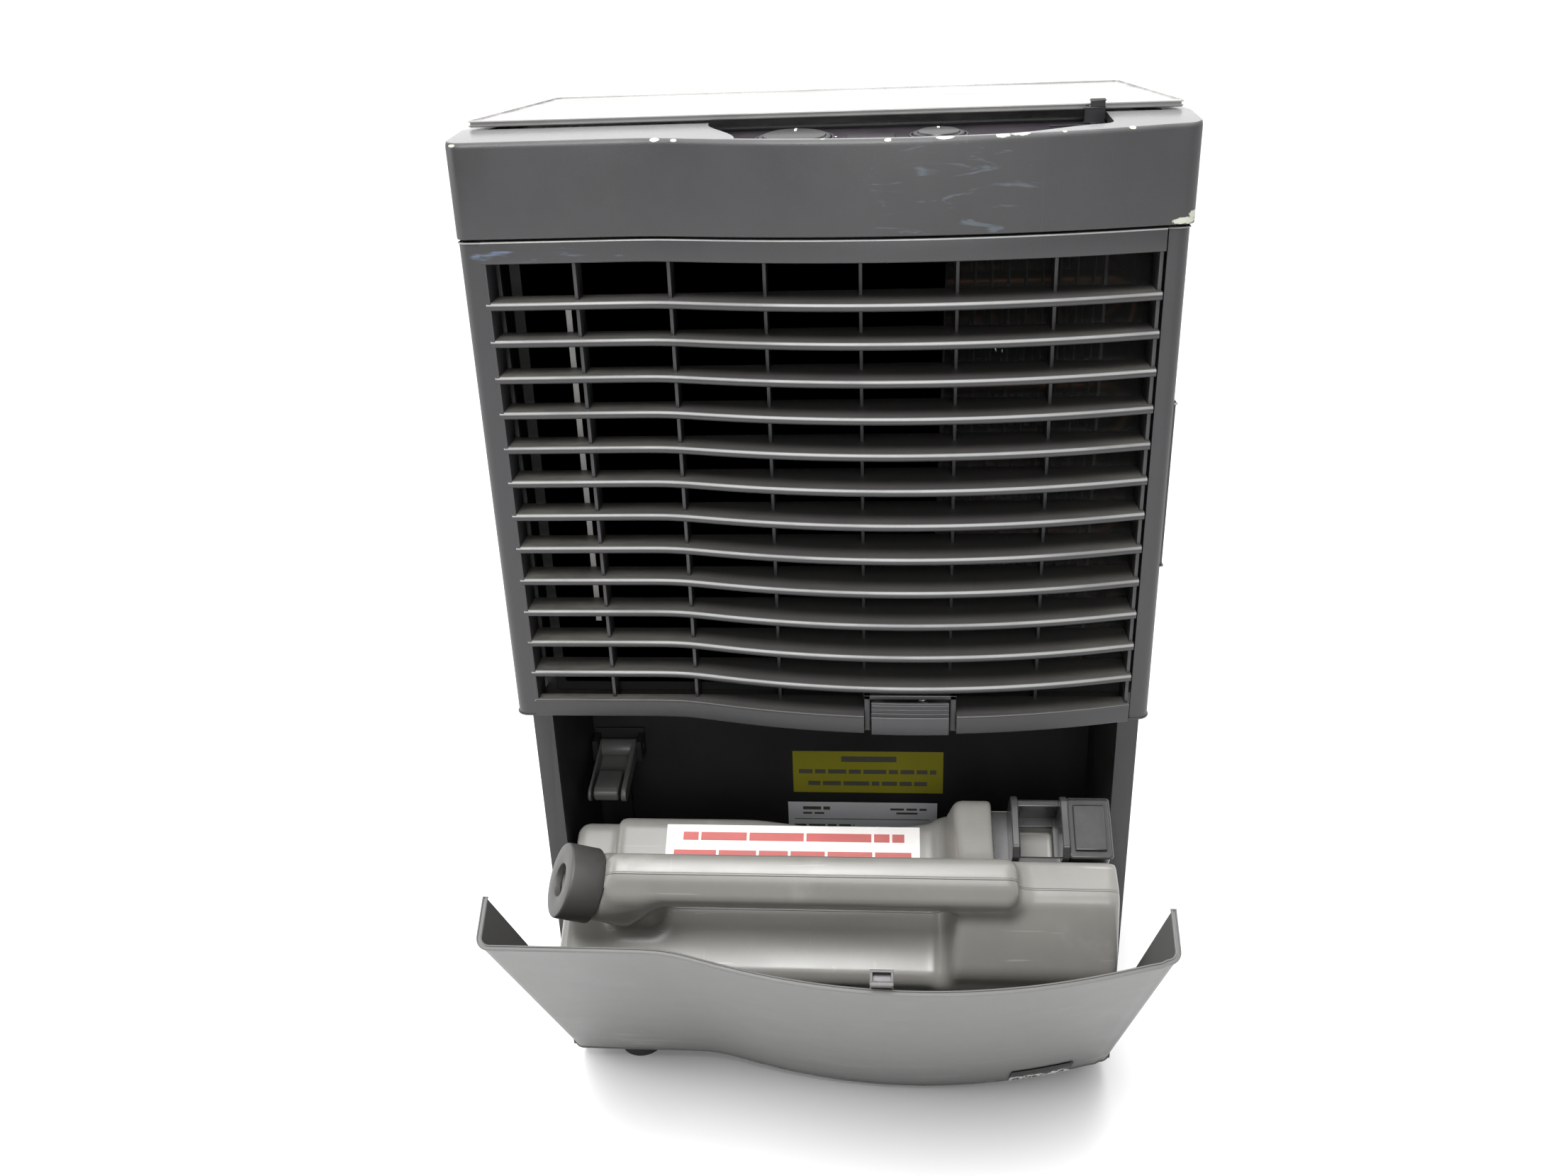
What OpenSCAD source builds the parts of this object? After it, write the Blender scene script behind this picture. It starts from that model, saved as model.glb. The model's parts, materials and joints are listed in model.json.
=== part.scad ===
// Upright compressor dehumidifier with a tilting water container door.
// Case coordinates: X to the right, Y to the back from the flat of the front, Z up from the floor.
// The door is drawn open, resting on its stop, with the water container standing in it.

/* [Case] */
// Width across the front grille and the door
body_w = 345; // [340:1:350]
// Depth from the flat of the front to the back edge of the rear cover
case_d = 262; // [258:1:270]
// Height of the rubber feet
foot_h = 8; // [6:1:10]
// Wall of the plastic mouldings
wall = 3; // [2.5:0.5:3.5]

/* [Front] */
// How far the front swells forward
bulge = 17.5; // [14:0.5:19]
// Place of the fullest point, right of the middle
bulge_x = 45; // [43:1:45]
// Half of the width of the swell
bulge_half = 120; // [110:1:120]
// Height of the front grille
shroud_h = 255.7; // [252:0.1:256]
// Number of slats
slat_count = 12; // [10:1:13]
// Number of upright ribs behind the slats
rib_count = 6; // [4:1:7]

/* [Door] */
// Height of the door
door_h = 239.5; // [236:0.5:240]
// Depth of the door's side wings
wing_d = 27.5; // [24:0.5:27.5]
// Angle of the open door
door_open = 36; // [30:1:36]

/* [Water container] */
// Width of the container
tank_w = 311; // [300:1:311]
// Height of the container's main top above the door's lower edge
tank_h = 142.5; // [138:0.5:143]
// Diameter of the spout cap
cap_d = 41; // [36:1:42]

/* [Cooling] */
// Number of fins in each coil
fin_count = 32; // [20:1:40]
// Number of tube runs in each coil
run_count = 8; // [6:2:8]
// Number of fan blades
blade_count = 5; // [4:1:6]

/* [Hidden] */
$fn = 64;
half_w = body_w / 2;
corner_r = 7;
swell_r = (bulge_half * bulge_half + bulge * bulge) / (2 * bulge);
shroud_z = 280;
shroud_top = shroud_z + shroud_h;
cowl_z = shroud_top + 1;
cowl_slope = 5.7;
cowl_h = 47;
cowl_top = cowl_z + cowl_h;
lid_t = 3.2;
lid_z = cowl_top + 1.1;
lid_front = 34;
lid_back = 222;
// Front grille
post_w = 12.8;
grille_right = half_w - post_w - 0.3;
opening_z = shroud_z + 9.9;
opening_top = shroud_top - 10.6;
slat_pitch = (opening_top - opening_z) / (slat_count + 1);
slat_back = 17;
// Chassis
skin_x = half_w - 1;
skin_in = skin_x - wall;
front_y = 28;
bay_x = 160;
bay_back = 118;
bay_top = shroud_z - 6.5;
// Door
pivot_y = 47.7;
pivot_z = 71.7;
pin_r = 4;
run_gap = 0.05;
door_z = 37.5;
door_top = door_z + door_h;
ear_x = 156.8;
ear_t = 2.5;
// Water container, in the closed door's place
tank_x = tank_w / 2;
tank_z = door_z + wall + 0.6;
tank_front = 12;
tank_back = 108;
tank_top = door_z + tank_h;
seam_y = 52;
handle_r = 12;
handle_z = door_z + 193;
block_x = 64;
block_top = door_z + 190;
pillar = [-126, -96];
spout_tilt = 58.7;
spout_face = [-146.4, seam_y, door_z + 190.6];
cap_l = 19;
neck_r = 13.5;
recess = [90.5, 68.9, tank_top + 15];
housing = [[93, 69.5, tank_top + 16], [tank_x - 0.7, 105.5, door_z + 189]];
float_at = [142.4, 88];
// Release catch, which slides up in front of the grille to free the striker tab
catch_x = [24, 64.4];
catch_z = [shroud_z - 0.6, shroud_z + 18];
catch_ceiling = shroud_z + 18.6;
guide_x = [46, 56];
guide_z = [shroud_z + 2, shroud_z + 8];
tab_x = [23.8, 35.2];
// Control panel
panel_x = [-52, 134];
dial_y = 12;
dials = [[-10, 17], [56, 12]];
panel_front_z = cowl_top - 10.5;
select_x = 128;
select_y = 30;
// Interlock lever
lever_pivot = [110, 196];
lever_drop = 14;
drip_at = [116, 88];
// Cooling parts
coil_x = [-130, 140];
coil_z = [302, 518];
evaporator_y = [38, 60];
condenser_y = [74, 100];
tube_r = 4.5;
fan_z = 405;
fan_r = 104;
shaft_r = 4;
compressor_at = [-50, 188];
foot_places = [for (x = [-132, 132], y = [54, case_d - 32]) [x, y]];
grommet_places = [for (x = [-58, 58], y = [-46, 46]) [compressor_at[0] + x, compressor_at[1] + y]];
rear_screw_places = [for (x = [-150, 150], z = [26, 190, 350, 520]) [x, z]];
filter_y = [19.5, 25.5];
filter_z = [shroud_z + 6, shroud_top - 6];
// Refrigerant pipes, which leave the coils on the left
suction_x = -159.5;
discharge_x = -151;
drier_at = [-145, 215];
capillary_x = -160.5;
stub_x = coil_x[0] - 8;
coil_run = [coil_z[0] + 14, coil_z[1] - 14];
compressor_r = 60;
// The striker tab on the open door's top edge sets how far forward the whole object reaches
tab_y = -bulge + 3.3;
tab_top = door_top + 6.3;
front_reach = pivot_y + (tab_y - pivot_y) * cos(door_open) - (tab_top - pivot_z) * sin(door_open);
y_mid = (case_d + front_reach) / 2;

charcoal = [0.16, 0.155, 0.17];
door_grey = [0.25, 0.25, 0.26];
tank_grey = [0.45, 0.44, 0.43];
black = [0.06, 0.06, 0.065];
copper = [0.72, 0.42, 0.27];
metal = [0.75, 0.76, 0.77];

// ---- placing ----

module in_case() {
    translate([0, -y_mid, 0]) children();
}

// What rides on the open door is drawn where it is when the door is shut
module on_door() {
    in_case() translate([0, pivot_y, pivot_z]) rotate([door_open, 0, 0])
        translate([0, -pivot_y, -pivot_z]) children();
}

// A box from its lowest corner to its highest
module box(low, high) {
    translate(low) cube(high - low);
}

module both_sides() {
    children();
    mirror([1, 0, 0]) children();
}

module along_x(x, y, z, length, r) {
    translate([x, y, z]) rotate([0, 90, 0]) cylinder(h = length, r = r);
}

module along_y(x, y, z, length, r) {
    translate([x, y, z]) rotate([-90, 0, 0]) cylinder(h = length, r = r);
}

// Extrudes an outline drawn in Y and Z along X
module side_extrude(x, length) {
    translate([x, 0, 0]) rotate([90, 0, 90]) linear_extrude(length) children();
}

// Plan of the case front: flat on the left, swelling forward on the right, with rounded corners
module front_plan(y, back, half = half_w, r = corner_r) {
    translate([-half + r, y]) square([2 * (half - r), back - y]);
    translate([-half, y + r]) square([2 * half, back - y - r]);
    for (side = [-1, 1]) translate([side * (half - r), y + r]) circle(r);
    intersection() {
        translate([bulge_x, y + swell_r - bulge]) circle(swell_r, $fn = 360);
        translate([bulge_x - bulge_half - 2, y - bulge - 1])
            square([half - r - 0.1 - bulge_x + bulge_half + 2, bulge + 3]);
    }
}

// Plan of a skin that follows the front, with side walls running back to a given depth
module skin_plan(back, t = wall, half = half_w) {
    difference() {
        front_plan(0, back, half);
        translate([0, t]) front_plan(0, back + 1, half - t, corner_r - t);
    }
}

// Part of the front's plan between two places across the width
module front_band(y, back, x0, x1) {
    intersection() {
        front_plan(y, back, r = 0.5);
        translate([x0, -50]) square([x1 - x0, 400]);
    }
}

// A tube along square corners, whose bends are let into the straight lengths
module tube_path(points, r, bend = 8) {
    sleeve = 1;
    last = len(points) - 2;
    for (i = [0:last]) {
        way = (points[i + 1] - points[i]) / norm(points[i + 1] - points[i]);
        start = points[i] + way * (i > 0 ? bend - sleeve : 0);
        end = points[i + 1] - way * (i < last ? bend - sleeve : 0);
        translate(start) rotate([0, acos(way[2]), atan2(way[1], way[0])])
            cylinder(h = norm(end - start), r = r);
    }
    for (i = [1:last]) {
        x = (points[i] - points[i + 1]) / norm(points[i + 1] - points[i]);
        y = (points[i] - points[i - 1]) / norm(points[i] - points[i - 1]);
        z = cross(x, y);
        centre = points[i] - bend * (x + y);
        multmatrix([
            [x[0], y[0], z[0], centre[0]], [x[1], y[1], z[1], centre[1]], [x[2], y[2], z[2], centre[2]]
        ]) rotate_extrude(angle = 90) translate([bend, 0]) circle(r - 0.2, $fn = 32);
    }
}

evaporator_mid = (evaporator_y[0] + evaporator_y[1]) / 2;
condenser_mid = (condenser_y[0] + condenser_y[1]) / 2;
suction_route = [
    [stub_x, evaporator_mid, coil_run[0]], [suction_x, evaporator_mid, coil_run[0]],
    [suction_x, 150, coil_run[0]],
    [suction_x, 150, 222], [compressor_at[0] + 26, 150, 222], [compressor_at[0] + 26, 170, 222],
    [compressor_at[0] + 26, 170, 178]
];
discharge_route = [
    [stub_x, condenser_mid, coil_run[1]], [discharge_x, condenser_mid, coil_run[1]],
    [discharge_x, 140, coil_run[1]],
    [discharge_x, 140, 236], [compressor_at[0] - 20, 140, 236], [compressor_at[0] - 20, 200, 236],
    [compressor_at[0] - 20, 200, 180]
];
liquid_route = [
    [stub_x, condenser_mid, coil_run[0]], [drier_at[0], condenser_mid, coil_run[0]],
    [drier_at[0], drier_at[1], coil_run[0]], [drier_at[0], drier_at[1], 170]
];
capillary_route = [
    [capillary_x, drier_at[1], 100], [capillary_x, drier_at[1], coil_run[1]],
    [capillary_x, evaporator_mid, coil_run[1]], [stub_x, evaporator_mid, coil_run[1]]
];

// ---- case ----

// Cuts the lower front corners of the walls, behind the open door's edge
module front_corner_cut() {
    both_sides() side_extrude(bay_x - 1, skin_x - bay_x + 2)
        polygon([[front_y - 1, foot_h], [front_y - 1, 22], [front_y + 10, foot_h + 3],
            [front_y + 10, foot_h]]);
}

module chassis() {
    shelf_z = shroud_top - 2.5;
    color(charcoal) in_case() difference() {
        union() {
            both_sides() box([skin_in, front_y, foot_h + 4], [skin_x, case_d - 3, cowl_z]);
            both_sides() box([bay_x, front_y, foot_h + 4], [skin_x, front_y + wall, bay_top]);
            box([-skin_x, front_y, bay_top], [skin_x, front_y + wall, shroud_top - 0.5]);
            // deck under the coils and the fan
            box([-skin_in, front_y + 1, shroud_z - 3], [skin_in, case_d - 7, shroud_z]);
            // shelf for the circuit board
            box([-skin_in, front_y + 1, shelf_z], [skin_in, 119, shelf_z + 2]);
            for (x = [-54, 54], y = [62, 106])
                translate([x, y, shelf_z]) cylinder(h = cowl_z + 4 - shelf_z, r = 4);
        }
        box([-bay_x, front_y - 1, opening_z + 6], [bay_x, front_y + wall + 1, opening_top - 4]);
        front_corner_cut();
        both_sides() along_x(skin_in - 1, pivot_y, pivot_z, wall + 2, pin_r);
        // ways through the deck for the pipes and the drip spout
        box([-166, 132, shroud_z - 4], [-146, 158, shroud_z + 1]);
        translate([drier_at[0], drier_at[1], shroud_z - 4]) cylinder(h = 5, r = 5);
        translate([capillary_x, drier_at[1], shroud_z - 4]) cylinder(h = 5, r = 3);
        translate([drip_at[0], drip_at[1], shroud_z - 4]) cylinder(h = 5, r = 9);
    }
}

module base_pan() {
    color(black) in_case() difference() {
        union() {
            box([-skin_in, 40, foot_h], [skin_in, case_d - 7, foot_h + 4]);
            both_sides() box([skin_in - 2.5, 60, foot_h + 3], [skin_in, case_d - 7, 30]);
            box([-skin_in, case_d - 9.5, foot_h + 3], [skin_in, case_d - 7, 30]);
            for (p = foot_places) translate([p[0], p[1], foot_h]) cylinder(h = 8, r = 9);
            for (p = grommet_places) translate([p[0], p[1], foot_h]) cylinder(h = 7, r = 10);
        }
        for (p = foot_places) translate([p[0], p[1], foot_h - 1]) cylinder(h = 10, r = 3);
        for (p = grommet_places) translate([p[0], p[1], foot_h - 1]) cylinder(h = 10, r = 3);
        for (p = rear_screw_places) along_y(p[0], case_d - 11, p[1], 6, 2);
    }
}

module feet() {
    color(black) in_case() for (p = foot_places) translate([p[0], p[1], 0]) {
        cylinder(h = foot_h, r = 14);
        translate([0, 0, foot_h]) cylinder(h = 7, r = 3);
    }
}

module container_bay_liner() {
    color(black) in_case() difference() {
        union() {
            both_sides() box([bay_x, front_y + wall, foot_h + 4.5], [bay_x + 2.5, bay_back, bay_top]);
            box([-bay_x - 2.5, bay_back, foot_h + 4.5], [bay_x + 2.5, bay_back + 2.5, bay_top]);
            box([-bay_x - 2.5, front_y + wall, bay_top], [bay_x + 2.5, bay_back + 2.5, bay_top + 2.5]);
        }
        both_sides() along_x(bay_x - 1, pivot_y, pivot_z, 5, pin_r);
        translate([drip_at[0], drip_at[1], bay_top - 1]) cylinder(h = 5, r = 9);
        front_corner_cut();
    }
}

module rear_cover() {
    outlet = [[-120, 320], [120, 500]];
    rows = 13;
    pitch = (outlet[1][1] - outlet[0][1]) / rows;
    color(charcoal) in_case() difference() {
        union() {
            box([-skin_x, case_d - 6, foot_h + 4], [skin_x, case_d - 3, cowl_z - 1]);
            both_sides() box([skin_in - 2, case_d - 3.5, foot_h + 4], [skin_x, case_d, cowl_z - 1]);
            box([-skin_x, case_d - 3.5, foot_h + 4], [skin_x, case_d, foot_h + 7]);
            box([-skin_x, case_d - 3.5, cowl_z - 4], [skin_x, case_d, cowl_z - 1]);
            difference() {
                box([-126, case_d - 3, 314], [126, case_d - 1.2, 506]);
                box([-122, case_d - 4, 318], [122, case_d, 502]);
            }
        }
        for (i = [0:rows - 1], x = [-120, -39, 42])
            box([x, case_d - 7, outlet[0][1] + i * pitch],
                [x + 78, case_d - 2, outlet[0][1] + (i + 0.55) * pitch]);
        along_y(124, case_d - 7, 60, 5, 8);
        for (p = rear_screw_places) along_y(p[0], case_d - 7, p[1], 5, 2);
        both_sides() box([skin_in, case_d - 7, foot_h + 3], [skin_x + 1, case_d - 3, cowl_z]);
    }
}

module rear_screws() {
    color(metal) in_case() for (p = rear_screw_places) {
        along_y(p[0], case_d - 3, p[1], 2, 4);
        along_y(p[0], case_d - 8, p[1], 5, 2);
    }
}

module slope_cut() {
    translate([-200, 0, cowl_top - lid_front * tan(cowl_slope)]) rotate([cowl_slope, 0, 0])
        translate([0, -60, 0]) cube([400, 60 + lid_front / cos(cowl_slope), 20]);
}

// Plan of the control recess, whose front edge follows the swell
module recess_plan(rim, back, grow = 0) {
    end_r = 14 + grow;
    low = panel_x[0] - grow;
    high = panel_x[1] + grow;
    intersection() {
        front_plan(rim, back, r = 0.5);
        union() {
            translate([low + end_r, -50]) square([high - low - 2 * end_r, 100]);
            translate([low, 4]) square([high - low, 46]);
            for (x = [low + end_r, high - end_r]) translate([x, 4]) circle(end_r);
        }
    }
}

module recess_space() {
    translate([0, 0, cowl_top - 30]) linear_extrude(40) recess_plan(4.5, 46);
}

module cowl() {
    color(charcoal) in_case() difference() {
        union() {
            difference() {
                translate([0, 0, cowl_z]) linear_extrude(cowl_h) front_plan(0, case_d);
                translate([0, 0, cowl_z - 1]) linear_extrude(cowl_h - 7 + 1)
                    translate([0, wall]) front_plan(0, case_d - 2 * wall, half_w - wall, corner_r - wall);
            }
            // walls of the control recess
            translate([0, 0, panel_front_z - 5]) linear_extrude(10) recess_plan(1, 49, 3);
        }
        slope_cut();
        box([-160, 50, cowl_top - 8], [160, case_d - 20, cowl_top - wall]);
        recess_space();
    }
}

module lid() {
    vents = [110, 146];
    color(charcoal) in_case() {
        difference() {
            union() {
                box([-169.5, lid_front, lid_z], [169.5, lid_back, lid_z + lid_t]);
                box([-160, 50, cowl_top], [160, lid_back - 8, lid_z]);
            }
            for (i = [0:5]) translate([vents[0] + i * 6.5, lid_back - 36, lid_z + 0.8])
                cube([3.5, 24, lid_t]);
        }
    }
}

// ---- front grille and filter ----

module front_grille() {
    color(charcoal) in_case() difference() {
        union() {
            // left post and its side wall
            translate([0, 0, shroud_z]) linear_extrude(shroud_h) intersection() {
                difference() {
                    front_plan(0, front_y);
                    translate([0, wall]) front_plan(0, front_y + 1, half_w - wall, corner_r - wall);
                }
                translate([-half_w, -1]) square([post_w, front_y + 2]);
            }
            // top and bottom bars
            translate([0, 0, opening_top]) linear_extrude(shroud_top - opening_top)
                front_band(0, front_y, -half_w + post_w - 1, grille_right);
            translate([0, 0, shroud_z]) linear_extrude(opening_z - shroud_z)
                front_band(0, 8, -half_w + post_w - 1, grille_right);
            // sill under the filter
            box([-half_w + post_w - 1, 7, shroud_z], [grille_right, front_y, filter_z[0] - 0.5]);
            // end rib by the filter post
            box([grille_right - 2.5, 0, shroud_z], [grille_right, slat_back, shroud_top]);
            box([-half_w + post_w - 1, 0, shroud_z], [-half_w + post_w + 1.5, slat_back, shroud_top]);
            for (i = [1:slat_count]) translate([0, 0, opening_z + i * slat_pitch]) slat();
            for (i = [0:rib_count - 1]) translate([-118 + i * 228 / (rib_count - 1), 4, shroud_z])
                cube([2.5, slat_back - 4, shroud_h - 4]);
            // housing of the release catch
            box([catch_x[0] - 4, 4 - bulge, shroud_z], [catch_x[1] + 4, 6, catch_ceiling + 2.4]);
        }
        difference() {
            box([catch_x[0] - 0.6, -bulge - 12, shroud_z - 1],
                [catch_x[1] + 0.6, 13.5 - bulge, catch_ceiling]);
            // lips that hold the catch's guide
            for (x = [guide_x[0] - 8, guide_x[1] + 0.5])
                box([x, 4.1 - bulge, guide_z[0] + 1], [x + 7.5, 6.8 - bulge, catch_ceiling + 1]);
        }
        // groove for the filter's upper edge
        box([-154, filter_y[0] - 0.5, opening_top - 1],
            [grille_right + 1, filter_y[1] + 0.5, filter_z[1] + 0.5]);
    }
}

// One slat: a thin web with a taller nose along its front edge
module slat() {
    translate([0, 0, -5.5]) linear_extrude(5.5) difference() {
        front_band(0, 3, -half_w + post_w - 1, grille_right);
        translate([0, 3]) front_band(0, 3, -half_w, half_w);
    }
    translate([0, 0, -2.2]) linear_extrude(2.2)
        front_band(2, slat_back, -half_w + post_w - 1, grille_right);
}

module filter_end_post() {
    color(charcoal) in_case() difference() {
        union() {
            translate([0, 0, shroud_z]) linear_extrude(shroud_h) intersection() {
                front_plan(0, front_y - 0.3, half_w - 1);
                translate([grille_right + 0.4, -1]) square([post_w + 2, front_y]);
            }
            translate([0, 0, shroud_z + 86]) linear_extrude(86) intersection() {
                front_plan(0, front_y - 2);
                translate([half_w - 3, 5]) square([3, front_y]);
            }
        }
        box([grille_right, 3.5, shroud_z + 3], [half_w - 4, front_y, shroud_top - 3]);
    }
}

module filter_frame() {
    color(black) in_case() difference() {
        box([-153, filter_y[0], filter_z[0]], [half_w - 4, filter_y[1], filter_z[1]]);
        for (i = [0:2]) box([-147 + i * 104, filter_y[0] - 1, shroud_z + 12],
                [-147 + i * 104 + 98, filter_y[1] + 1, shroud_top - 12]);
    }
}

module filter_mesh() {
    y = (filter_y[0] + filter_y[1]) / 2;
    color([0.12, 0.12, 0.13]) in_case() for (i = [0:2])
        box([-147 + i * 104, y - 0.4, shroud_z + 12], [-147 + i * 104 + 98, y + 0.4, shroud_top - 12]);
}

// ---- controls ----

module on_panel() {
    translate([0, 0, panel_front_z]) rotate([cowl_slope, 0, 0]) children();
}

module control_panel() {
    color([0.1, 0.09, 0.1]) in_case() difference() {
        union() {
            intersection() {
                recess_space();
                on_panel() box([panel_x[0] - 1, -40, 0], [panel_x[1] + 1, 60, 2]);
            }
            on_panel() {
                for (d = dials) translate([d[0], dial_y, 2]) difference() {
                    cylinder(h = 1.6, r = d[1] + 1.6);
                    translate([0, 0, -0.1]) cylinder(h = 2, r = d[1] + 0.4);
                }
                box([14, 5, 2], [36, 22, 2.6]);
            }
        }
        on_panel() {
            for (d = dials) translate([d[0], dial_y, -1]) cylinder(h = 5, r = 3 + run_gap);
            box([select_x - 20, select_y - 2.6, -1], [select_x + 2.9, select_y + 2.6, 5]);
        }
    }
}

module dial(x, r) {
    translate([x, dial_y, 2.3]) difference() {
        union() {
            cylinder(h = 3, r = r);
            translate([0, 0, 3]) cylinder(h = 1.4, r = r - 2.5);
            translate([0, 0, -11]) cylinder(h = 12, r = 3);
        }
        for (a = [0:15:345]) rotate([0, 0, a]) translate([r + 0.4, 0, -1]) cylinder(h = 6, r = 1);
        translate([-0.7, r * 0.4, 3.6]) cube([1.4, r * 0.5, 2]);
    }
}

module humidity_dial() {
    color(black) in_case() on_panel() dial(dials[0][0], dials[0][1]);
}

module fan_dial() {
    color(black) in_case() on_panel() dial(dials[1][0], dials[1][1]);
}

// Body of a control, hanging under the panel, with a socket for the dial's shaft
module control_body(x, size) {
    difference() {
        translate([x - size / 2, dial_y - size / 2, -20]) cube([size, size, 20]);
        translate([x, dial_y, -11]) cylinder(h = 12, r = 3 + run_gap);
    }
}

module humidistat() {
    color([0.75, 0.75, 0.7]) in_case() on_panel() control_body(dials[0][0], 26);
}

module fan_switch() {
    color([0.2, 0.2, 0.22]) in_case() on_panel() control_body(dials[1][0], 20);
}

module selector_lever() {
    color(black) in_case() on_panel() translate([select_x, select_y, 0]) {
        translate([-2.2, -2, -7]) cube([4.4, 4, 14]);
        translate([-5, -2, 3]) cube([10, 4, 7.5]);
        translate([-2.5, -2, 10]) cube([7.5, 4, 3.5]);
        translate([-6, -4.5, -7]) cube([11, 9, 3]);
    }
}

module circuit_board() {
    board_z = cowl_z + 4;
    color([0.1, 0.3, 0.14]) in_case() {
        box([-60, 56, board_z], [60, 112, board_z + 1.6]);
        box([-50, 66, board_z + 1.6], [-22, 96, board_z + 20]);
        box([0, 70, board_z + 1.6], [18, 88, board_z + 16]);
        translate([38, 90, board_z + 1.6]) cylinder(h = 18, r = 8);
    }
}

// ---- catch ----

// A strip of the catch's plate, set back from the front by a given amount
module catch_strip(back_by, low, high) {
    translate([0, 0, low]) linear_extrude(high - low) difference() {
        front_band(back_by, 3, catch_x[0], catch_x[1]);
        translate([0, 2.4]) front_band(0, 5, -half_w, half_w);
    }
}

module release_catch() {
    color([0.09, 0.09, 0.1]) in_case() union() {
        catch_strip(0, catch_z[0], opening_z);
        catch_strip(1, opening_z - 1, catch_z[1]);
        // grip ridges
        for (i = [0:2]) catch_strip(0.4, opening_z + 1.4 + i * 2.3, opening_z + 2.4 + i * 2.3);
        // guide, wider at its back than the gap between the housing's lips
        box([guide_x[0], 1.9 - bulge, guide_z[0]], [guide_x[1], 7.3 - bulge, guide_z[1]]);
        box([guide_x[0] - 5, 7.3 - bulge, guide_z[0]], [guide_x[1] + 5, 10.5 - bulge, guide_z[1]]);
    }
}

module catch_spring() {
    wire_r = 0.5;
    turns = 5;
    pitch = (catch_ceiling - guide_z[1] - 2 * wire_r) / (turns - 1);
    color(metal) in_case() for (i = [0:turns - 1])
        translate([(guide_x[0] + guide_x[1]) / 2, 8.9 - bulge, guide_z[1] + wire_r + i * pitch])
            rotate_extrude() translate([2.2, 0]) circle(wire_r, $fn = 16);
}

// ---- door and hinge ----

module door() {
    stop_y = front_y - 0.6;
    socket_y = tab_y + 7.8;
    color(door_grey) on_door() difference() {
        union() {
            translate([0, 0, door_z]) linear_extrude(door_h) skin_plan(wing_d);
            translate([0, 0, door_z]) linear_extrude(wall) intersection() {
                front_plan(0, 98);
                translate([-ear_x - ear_t, -60]) square([2 * (ear_x + ear_t), 200]);
            }
            both_sides() side_extrude(ear_x, ear_t)
                polygon([[1, door_z], [98, door_z], [98, 52], [62, 84], [36, 90], [1, 112]]);
            // striker tab
            box([tab_x[0], tab_y, door_top - 6], [tab_x[1], tab_y + 2.3, tab_top]);
            box([tab_x[0], 2 - bulge, door_top - 6], [tab_x[1], socket_y + 1.4, door_top]);
        }
        both_sides() along_x(ear_x - 1, pivot_y, pivot_z, ear_t + 2, pin_r + run_gap);
        // slot behind the tab
        box([tab_x[0] + 1.3, tab_y + 2.3, door_top - 4], [tab_x[1] - 1.3, socket_y, door_top + 1]);
        // the lower ends of the wings are cut to lie against the chassis when the door is open
        both_sides() translate([ear_x + ear_t, pivot_y, pivot_z]) rotate([-door_open, 0, 0])
            translate([0, stop_y - pivot_y, -100]) cube([20, 100, 300]);
    }
}

module hinge_pins() {
    color(metal) in_case() both_sides() union() {
        along_x(ear_x - 0.6, pivot_y, pivot_z, skin_x - ear_x + 0.4, pin_r);
    }
}

module door_badge() {
    color([0.35, 0.35, 0.36]) on_door() translate([0, 0, door_z + 3]) linear_extrude(24) difference() {
        front_band(-0.5, 3, 108, 146);
        translate([0, 0.5]) front_band(-0.5, 4, -half_w, half_w);
    }
}

// ---- water container, drawn with the door shut ----

// Side outline of the tall part, drawn in by the wall's thickness for its inside
module block_outline(t) {
    polygon([
        [tank_front + t, tank_z + t], [tank_back - t, tank_z + t], [tank_back - t, door_z + 180 - t],
        [recess[1] - t, door_z + 185 - t], [48 - t, block_top - t], [tank_front + t, door_z + 156 - t]
    ]);
}

module spout_place() {
    translate(spout_face) rotate([0, -spout_tilt, 0]) children();
}

// The container's form, drawn in by t for its inside
module tank_form(t) {
    // main part, lower in the corner that passes under the interlock lever
    difference() {
        box([-tank_x + t, tank_front + t, tank_z + t], [tank_x - t, tank_back - t, tank_top - t]);
        box([-tank_x - 1, 76 - t, tank_top - 12.5 - t], [-128.5 + t, tank_back + 1, tank_top + 1]);
    }
    // tall part, with a recess for the float housing
    difference() {
        side_extrude(block_x + t, tank_x - block_x - 2 * t) block_outline(t);
        box([recess[0] - t, recess[1] - t, recess[2] - t], [tank_x + 1, tank_back + 1, cowl_z]);
    }
    // pillar that carries the spout
    difference() {
        box([pillar[0] + t, seam_y - 13 + t, tank_top - 1 - 2 * t],
            [pillar[1] - t, seam_y + 13 - t, handle_z - t]);
        spout_place() translate([0, 0, -cap_l - 0.5 - t]) cylinder(h = 60, r = cap_d / 2 + 0.5 + t);
    }
}

module water_container() {
    t = 2.2;
    color(tank_grey) on_door() difference() {
        union() {
            tank_form(0);
            // handle, from the pillar to the top of the tall part
            along_x(pillar[0] + 10, seam_y, handle_z, 213, handle_r);
            box([pillar[0] + 10, seam_y - 11, handle_z - 1], [pillar[1], seam_y + 11, handle_z + 9]);
            spout_place() translate([0, 0, -40]) cylinder(h = 36, r = neck_r);
        }
        tank_form(t);
        spout_place() translate([0, 0, -34]) cylinder(h = 34, r = neck_r - t);
        // openings under the float housing
        box([106, 76, recess[2] - 5], [126, 98, recess[2] + 1]);
        translate([float_at[0], float_at[1], recess[2] - 5]) cylinder(h = 6, r = 6);
    }
}

module spout_cap() {
    color(black) on_door() spout_place() difference() {
        translate([0, 0, -cap_l]) cylinder(h = cap_l, r = cap_d / 2);
        translate([0, 0, -cap_l - 1]) cylinder(h = cap_l - 2.6, r = neck_r + run_gap);
        translate([0, 0, -6]) cylinder(h = 8, r = 9);
    }
}

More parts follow.
